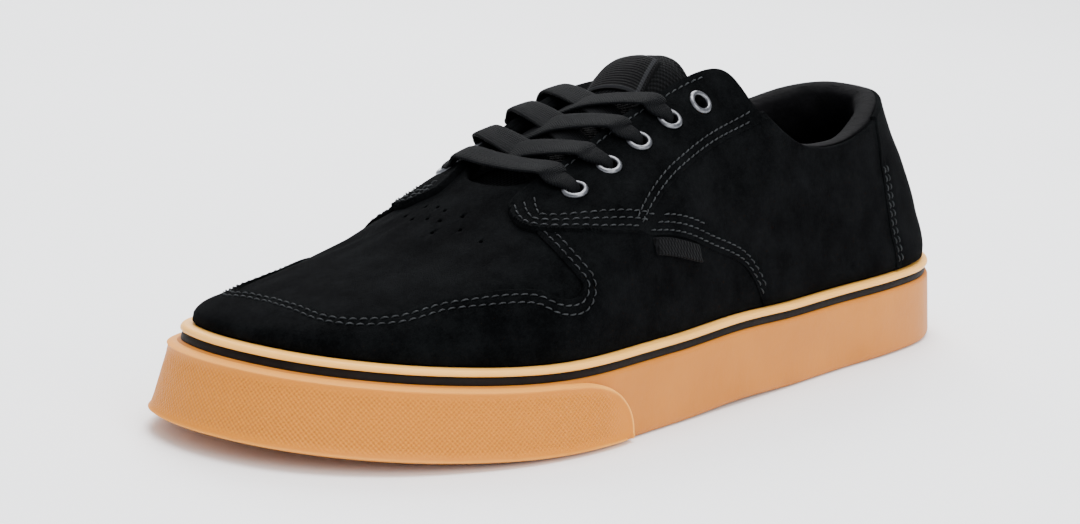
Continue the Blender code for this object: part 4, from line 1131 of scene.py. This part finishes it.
def slab(name, outer, inner, finish, nodes, smooth=60):
    """A solid between two grids of points that have the same rows and columns."""
    rows, columns = outer.shape[:2]
    index = np.arange(rows * columns).reshape(rows, columns)
    quads = np.stack([index[:-1, :-1], index[:-1, 1:], index[1:, 1:], index[1:, :-1]], -1).reshape(-1, 4)
    rim = list(index[0, :-1]) + list(index[:-1, -1]) + list(index[-1, :0:-1]) + list(index[:0:-1, 0])
    shift = rows * columns
    faces = [tuple(q) for q in quads] + [tuple(q[::-1] + shift) for q in quads]
    faces += [(b, a, a + shift, b + shift) for a, b in zip(rim, rim[1:] + rim[:1])]
    return piece(name, np.concatenate([outer.reshape(-1, 3), inner.reshape(-1, 3)]), faces, finish,
                 nodes, smooth)


tongue = slab("padded_tongue", tongue_over, tongue_under, textile, ["tongue"])
print("tongue", RUNS * SPANS * 2, "points")

# %% [markdown]
# A small woven label is sewn on the tongue, near its free end. It's bare, with a plain border woven in.
# It could be a patch of colour on the tongue, but its thickness shows at the edge. So it's a thin slab
# that follows the tongue's face, pressed in along its line of thread, and a little askew as sewn ones
# are.

# %% The bare label
LABEL_LOW, LABEL_HIGH = 0.775, 0.905
LABEL_THICKNESS = 0.0009


def rounded_pad(shape, power=8):
    """1 inside a grid and falling to 0 in a round at its rim."""
    a, b = np.meshgrid(np.linspace(-1, 1, shape[0]), np.linspace(-1, 1, shape[1]), indexing="ij")
    fall = (1 - np.abs(a) ** (power * 3)) * (1 - np.abs(b) ** (power * 3))
    return np.sqrt(np.clip(fall, 0, 1))[..., None], a, b


label_runs, label_spans = np.meshgrid(np.linspace(LABEL_LOW, LABEL_HIGH, 49), np.linspace(-0.52, 0.33, 65),
                                      indexing="ij")
label_spans += 1.1 * (LABEL_HIGH - label_runs) * (0.6 + 0.4 * label_spans)
label_face = tongue_face(label_runs, label_spans)
label_normal = grid_normals(label_face)
label_round, label_a, label_b = rounded_pad(label_face.shape[:2])
border = np.maximum(np.abs(label_a), np.abs(label_b))[..., None]
stitch_line = 0.00025 * np.exp(-((border - 0.90) / 0.03) ** 2)
label_over = label_face + label_normal * (0.0001 + LABEL_THICKNESS * label_round - stitch_line)
tongue_label = slab("bare_label", label_over, label_face - label_normal * 0.0002, label_weave,
                    ["tongue_label"])
label_frame = np.stack([label_a * 0.96, label_b], -1).reshape(-1, 2)
map_points(tongue_label, "frame", np.tile(label_frame, (2, 1)))
print("label", len(tongue_label.data.polygons), "faces")

# %% [markdown]
# A small folded tab of bare tape is sewn in where the quarter meets the rand. Its upper edge is tucked
# under the suede and its lower edge stands a little off. A flat plate would do from afar, but the tab
# has to lift from the wall, so it's a slab between two grids whose lift grows towards the free edge.

# %% The side tab
tab_a, tab_b = np.meshgrid(np.linspace(0, 1, 33), np.linspace(0, 1, 17), indexing="ij")
corners = np.array([(7.14, 0.318), (6.42, 0.300), (6.34, 0.225), (7.06, 0.250)])
a, b = tab_a[..., None], tab_b[..., None]
tab_places = ((1 - a) * ((1 - b) * corners[0] + b * corners[3])
              + a * ((1 - b) * corners[1] + b * corners[2]))
tab_round = rounded_pad(tab_a.shape, 6)[0][..., 0]
tab_lift = SEAT + RAND + 0.0002 + 0.0011 * tab_b**1.5 + relief(tab_places[..., 0], tab_places[..., 1])
tab = slab("side_tape", skin(tab_places[..., 0], tab_places[..., 1], tab_lift + 0.0010 * tab_round),
           skin(tab_places[..., 0], tab_places[..., 1], tab_lift - 0.0001 * tab_round), textile,
           ["side_tab"])
print("tab", len(tab.data.polygons), "faces")

# %% [markdown]
# The footbed is a foam sole inside, covered with the tongue's textile. It shows only where the opening
# lets the eye in. A flat sheet would end in a hard line at the wall, so its section is swept around the
# sole's outline, with a rounded rim that rises at the heel as a cupped footbed does.

# %% The footbed
FOOT_ROUND = 0.0012
foot_u = np.arange(0, ROWS, 1 / 4)
foot_x = outline(foot_u)[0][:, 0]
foot_edge = lean(foot_u) + LEDGE_WIDTH + WALL + GAP
foot_low = floor_thickness(foot_x) + GAP
foot_thick = 0.0050 - 0.0015 * ease(foot_x / LENGTH, 0.35, 0.6)
foot_rim = 0.0020 * (1 - ease(foot_x / LENGTH, 0.45, 0.65))
foot_rings = [sole_ring(foot_u, foot_edge, foot_low)]
foot_rings += [sole_ring(foot_u, foot_edge + FOOT_ROUND * (1 - math.cos(t)),
                         foot_low + foot_thick + foot_rim - FOOT_ROUND * (1 - math.sin(t)))
               for t in np.linspace(0, math.pi / 2, 5)]
foot_rings += [sole_ring(foot_u, foot_edge + reach,
                         foot_low + foot_thick + foot_rim * (1 - ease(reach, 0.002, 0.010)))
               for reach in (0.003, 0.005, 0.007, 0.009, 0.012, 0.018)]
turns = len(foot_u)
foot_faces = ring_faces(len(foot_rings), turns, False) + cap_faces(0, turns)
foot_faces += cap_faces((len(foot_rings) - 1) * turns, turns)
piece("footbed", np.concatenate(foot_rings), foot_faces, textile, ["insole"])
print("footbed", len(foot_faces), "faces")

# %% [markdown]
# Each eyelet is a pressed ring: a domed flange outside and a barrel through the wall. It's turned from
# one closed profile, as on a lathe, then set on the wall at its hole. A torus would lack the barrel,
# and the dark hole is what makes it read as an eyelet.

# %% Eyelets
EYELET_LIFT = SEAT + EYESTAY
RING_PROFILE = [(2.30, -4.2), (2.30, 0.05), (2.38, 0.45), (2.65, 0.78), (3.05, 0.90), (3.50, 0.76),
                (3.85, 0.42), (3.98, 0.08), (3.92, -0.15), (2.75, -0.15), (2.52, -0.4), (2.52, -4.2)]
TURNS = 48
angle = 2 * np.pi * np.arange(TURNS) / TURNS
ring_shape = np.concatenate([np.stack([r * np.cos(angle), r * np.sin(angle), np.full(TURNS, z)], -1)
                             for r, z in RING_PROFILE]) / 1000
for u, v, side, k in eyelet_seats:
    seat = turned_to(u, v, EYELET_LIFT)
    points = np.array([seat @ Vector(p) for p in ring_shape])
    name = f"{'outer' if side > 0 else 'inner'}_{k + 1}"
    piece(f"ring_{name}", points, ring_faces(len(RING_PROFILE), TURNS, True), metal,
          [f"eyelet_{name}"], smooth=50)
print("eyelets", len(eyelet_seats), "rings of", len(RING_PROFILE) * TURNS, "points")

# %% [markdown]
# The lace is a flat ribbon. It's wide over the tongue and gathers where it dives into an eyelet. A curve
# with a bevel would keep one width, so the ribbon is swept along a smooth path with its own
# width, thickness and upward direction at each place. One straight bar joins the front eyelets. Above
# it each pair crosses, the outer strand on top, and its lower end slips under the opposite flap.

# %% A ribbon
LACE_WIDTH = 0.0092
LACE_THICKNESS = 0.0012
BOW = 0.00012
Hold = namedtuple("Hold", "point up width thickness")


def lace(name, holds, nodes, steps=10, sides=20):
    """A soft-edged ribbon through its holds, mapped in metres along it and across it."""
    path = open_curve([h.point for h in holds], steps)
    up = open_curve([h.up for h in holds], steps)
    size = open_curve([(h.width, h.thickness) for h in holds], steps)
    run = unit(np.gradient(path, axis=0))
    across = unit(np.cross(run, up))
    up = np.cross(across, run)
    angle = 2 * np.pi * np.arange(sides) / sides
    wide = np.sign(np.cos(angle)) * np.abs(np.cos(angle)) ** 0.55
    tall = np.sign(np.sin(angle)) * np.abs(np.sin(angle)) ** 0.5
    bow = BOW * (1 - np.cos(angle) ** 2)
    grid = (path[:, None] + across[:, None] * (wide * 0.5)[:, None] * size[:, :1, None]
            + up[:, None] * ((tall * 0.5)[:, None] * size[:, 1:, None] + bow[:, None]))
    faces = ring_faces(len(path), sides, False) + end_faces(len(path), sides)
    thing = piece(name, grid.reshape(-1, 3), faces, lace_weave, nodes, smooth=75)
    places = np.stack(np.broadcast_arrays(run_along(path)[:, None], wide * LACE_WIDTH / 2), -1)
    map_points(thing, "weave", places.reshape(-1, 2))
    print(name, round(float(run_along(path)[-1]) * 1000), "mm long")


# %% Places that hold the ribbon
def over_flap(x, y, lift, width, thickness):
    """A hold over a flap, the lift measured from the eyestay's face to the lace's middle."""
    u, v = over_plan(x, y)
    return Hold(skin(u, v, EYELET_LIFT + lift), skin(u, v, 1.0) - wall(u, v), width, thickness)


def over_tongue(x, y, lift, width=LACE_WIDTH, thickness=LACE_THICKNESS):
    """A hold over the tongue, the lift measured from its face to the lace's middle."""
    x, y = np.array(x), np.array(y)
    face = np.array([x, y, tongue_top(x, y)])
    by_x = (tongue_top(x + 0.0005, y) - tongue_top(x - 0.0005, y)) / 0.001
    by_y = (tongue_top(x, y + 0.0005) - tongue_top(x, y - 0.0005)) / 0.001
    up = unit(np.array([-by_x, -by_y, 1.0]))
    return Hold(face + up * lift, up, width, thickness)


def from_eyelet(k, side, target, reach):
    """Holds that bring the lace up out of an eyelet and lead it towards a place seen from above."""
    u, v = (eyelet_rows[k] if side > 0 else ROWS - eyelet_rows[k]), eyelet_shares[k]
    up = skin(u, v, 1.0) - wall(u, v)
    seat = skin(u, v, EYELET_LIFT)
    away = np.array([seat[0] - target[0], seat[1] - target[1], 0.0])
    away = unit(away - up * (away @ up))
    return [
        Hold(seat - up * 0.0060, away, 0.0026, 0.0022),
        Hold(seat - up * 0.0014, unit(away + up * 0.2), 0.0036, 0.0022),
        Hold(seat + up * 0.0006 - away * 0.0008, unit(away + up * 0.8), 0.0042, 0.0019),
        Hold(seat + up * 0.0012 - away * reach * 0.28, unit(away * 0.2 + up), 0.0054, 0.0016),
        Hold(seat + up * 0.0014 - away * reach * 0.60, unit(up + (0, 0, 0.2)), 0.0074, 0.0013),
    ]


# %% Places over the flaps' edges and the gap
EDGE_LIFT = 0.0015
SAG = 0.0006


def at_edge(x, side):
    """A hold where the lace crosses a flap's edge."""
    edge = float(throat(x, side)[0]) + 0.0004
    held = over_flap(x, side * edge, EDGE_LIFT, LACE_WIDTH, LACE_THICKNESS)
    return held._replace(up=unit(held.up + (0, 0, 1)))


def across_gap(first, second, share):
    """A hold on the straight line between two others, with a trace of sag."""
    sag = np.array([0, 0, SAG * 4 * share * (1 - share)])
    return Hold(first.point + (second.point - first.point) * share - sag,
                unit(first.up + (second.up - first.up) * share), LACE_WIDTH, LACE_THICKNESS)


# %% The bar and the crossings
UNDER_LIFT = 0.0010
OVER_LIFT = 0.0024
outer, inner = at_edge(eyelet_x[0], 1), at_edge(eyelet_x[0], -1)
inset = EYELET_INSETS[0]
bar = from_eyelet(0, 1, inner.point, inset)
bar += [outer, across_gap(outer, inner, 0.33), across_gap(outer, inner, 0.67), inner]
bar += from_eyelet(0, -1, outer.point, inset)[::-1]
lace("lace_front", bar, ["lace_bar"])
for k in range(1, EYELETS - 1):
    for side, lift in ((-1, UNDER_LIFT), (1, OVER_LIFT)):
        end = eyelet_x[k - 1] - 0.0015
        far = float(throat(end, -side)[0])
        centre = (eyelet_x[k] + eyelet_x[k - 1]) / 2
        near = float(throat(eyelet_x[k], side)[0])
        share = EYELET_INSETS[k] / (EYELET_INSETS[k] + near + far)
        holds = from_eyelet(k, side, (end, -side * far), EYELET_INSETS[k])
        holds.append(at_edge(eyelet_x[k] + (end - eyelet_x[k]) * share, side))
        holds.append(over_tongue(centre - 0.001, 0.0, lift))
        holds.append(over_tongue((centre + end) / 2, -side * far * 0.55, 0.0011))
        holds.append(over_tongue(end, -side * (far + 0.0035), 0.0008))
        lace(f"lace_{'over' if side > 0 else 'under'}_{k}", holds, [f"lace_crossing_{k}"])
print("lace pieces", 1 + 2 * (EYELETS - 2))

# %% [markdown]
# The camera stands where the photograph was taken from: almost a metre away on the shoe's outer side,
# towards the toe, a little above it and slightly tilted. It's set from a direction and a distance rather
# than by eye, so that the outlines can be compared.

# %% Camera
AIM = Vector((0.17724, 0.0, 0.04001)) - Vector(ORIGIN)
PIVOT = Vector((0.150, 0.0, 0.040)) - Vector(ORIGIN)
DISTANCE = 0.960
FOCAL_PIXELS = 3163
IMAGE_WIDTH = 1080
SENSOR = 36
turn, height, roll = (math.radians(a) for a in (131.05, 12.05, 2.65))
back = Vector((math.sin(turn) * math.cos(height), -math.cos(turn) * math.cos(height), math.sin(height)))
place = PIVOT + back * DISTANCE
backward = (place - AIM).normalized()
right = Vector((0, 0, 1)).cross(backward).normalized()
up = backward.cross(right)
rolled_right = right * math.cos(roll) + up * math.sin(roll)
rolled_up = up * math.cos(roll) - right * math.sin(roll)
lens = bpy.data.cameras.new("camera")
lens.sensor_width = SENSOR
lens.lens = FOCAL_PIXELS * SENSOR / IMAGE_WIDTH
lens.clip_end = 20
camera = bpy.data.objects.new("camera", lens)
camera.matrix_world = Matrix((
    (rolled_right.x, rolled_up.x, backward.x, place.x),
    (rolled_right.y, rolled_up.y, backward.y, place.y),
    (rolled_right.z, rolled_up.z, backward.z, place.z),
    (0, 0, 0, 1),
))
bpy.context.scene.collection.objects.link(camera)
bpy.context.scene.camera = camera
print("camera", [round(c, 3) for c in place], "lens", round(lens.lens, 1))


# %% [markdown]
# The light is a pale room with three wide soft lamps: one overhead, one in front and one behind. A
# single hard lamp would draw the stitches more sharply, but the photograph has no hard shadows.

# %% Light
def soft_light(name, place, size, power, aim=(0, 0, 0.03)):
    """A square area light that faces the shoe."""
    data = bpy.data.lights.new(name, "AREA")
    data.shape = "SQUARE"
    data.size = size
    data.energy = power
    thing = bpy.data.objects.new(name, data)
    thing.location = place
    thing.rotation_euler = (Vector(aim) - Vector(place)).to_track_quat("-Z", "Y").to_euler()
    bpy.context.scene.collection.objects.link(thing)


soft_light("light_over", (0.0, 0.1, 1.4), 1.1, 30)
soft_light("light_front", (0.4, 1.3, 0.8), 0.9, 15)
soft_light("light_back", (-0.7, -0.8, 1.1), 0.8, 22)
world = bpy.data.worlds.new("pale_room")
world.use_nodes = True
world.node_tree.nodes["Background"].inputs["Color"].default_value = (0.92, 0.94, 1.0, 1)
world.node_tree.nodes["Background"].inputs["Strength"].default_value = 1.1
bpy.context.scene.world = world
print("lights", len(bpy.data.lights))

# %% [markdown]
# The floor is a sheet of pale paper, so wide that its edges are never seen. A backdrop that curves up
# would hide the horizon too, but from this height a flat floor fills the picture.

# %% The floor
FLOOR_REACH = 6
floor_mesh = bpy.data.meshes.new("floor")
floor_corners = [(x * FLOOR_REACH, y * FLOOR_REACH, 0) for x, y in ((-1, -1), (1, -1), (1, 1), (-1, 1))]
floor_mesh.from_pydata(floor_corners, [], [(0, 1, 2, 3)])
floor = bpy.data.objects.new("floor", floor_mesh)
bpy.context.scene.collection.objects.link(floor)
paper = Finish("pale_paper", Roughness=0.85)
paper.colours(paper.noise(3, 2), (0.94, 0.945, 0.95), (0.965, 0.97, 0.975))
floor_mesh.materials.append(paper.material)
print("floor", 2 * FLOOR_REACH, "m wide")
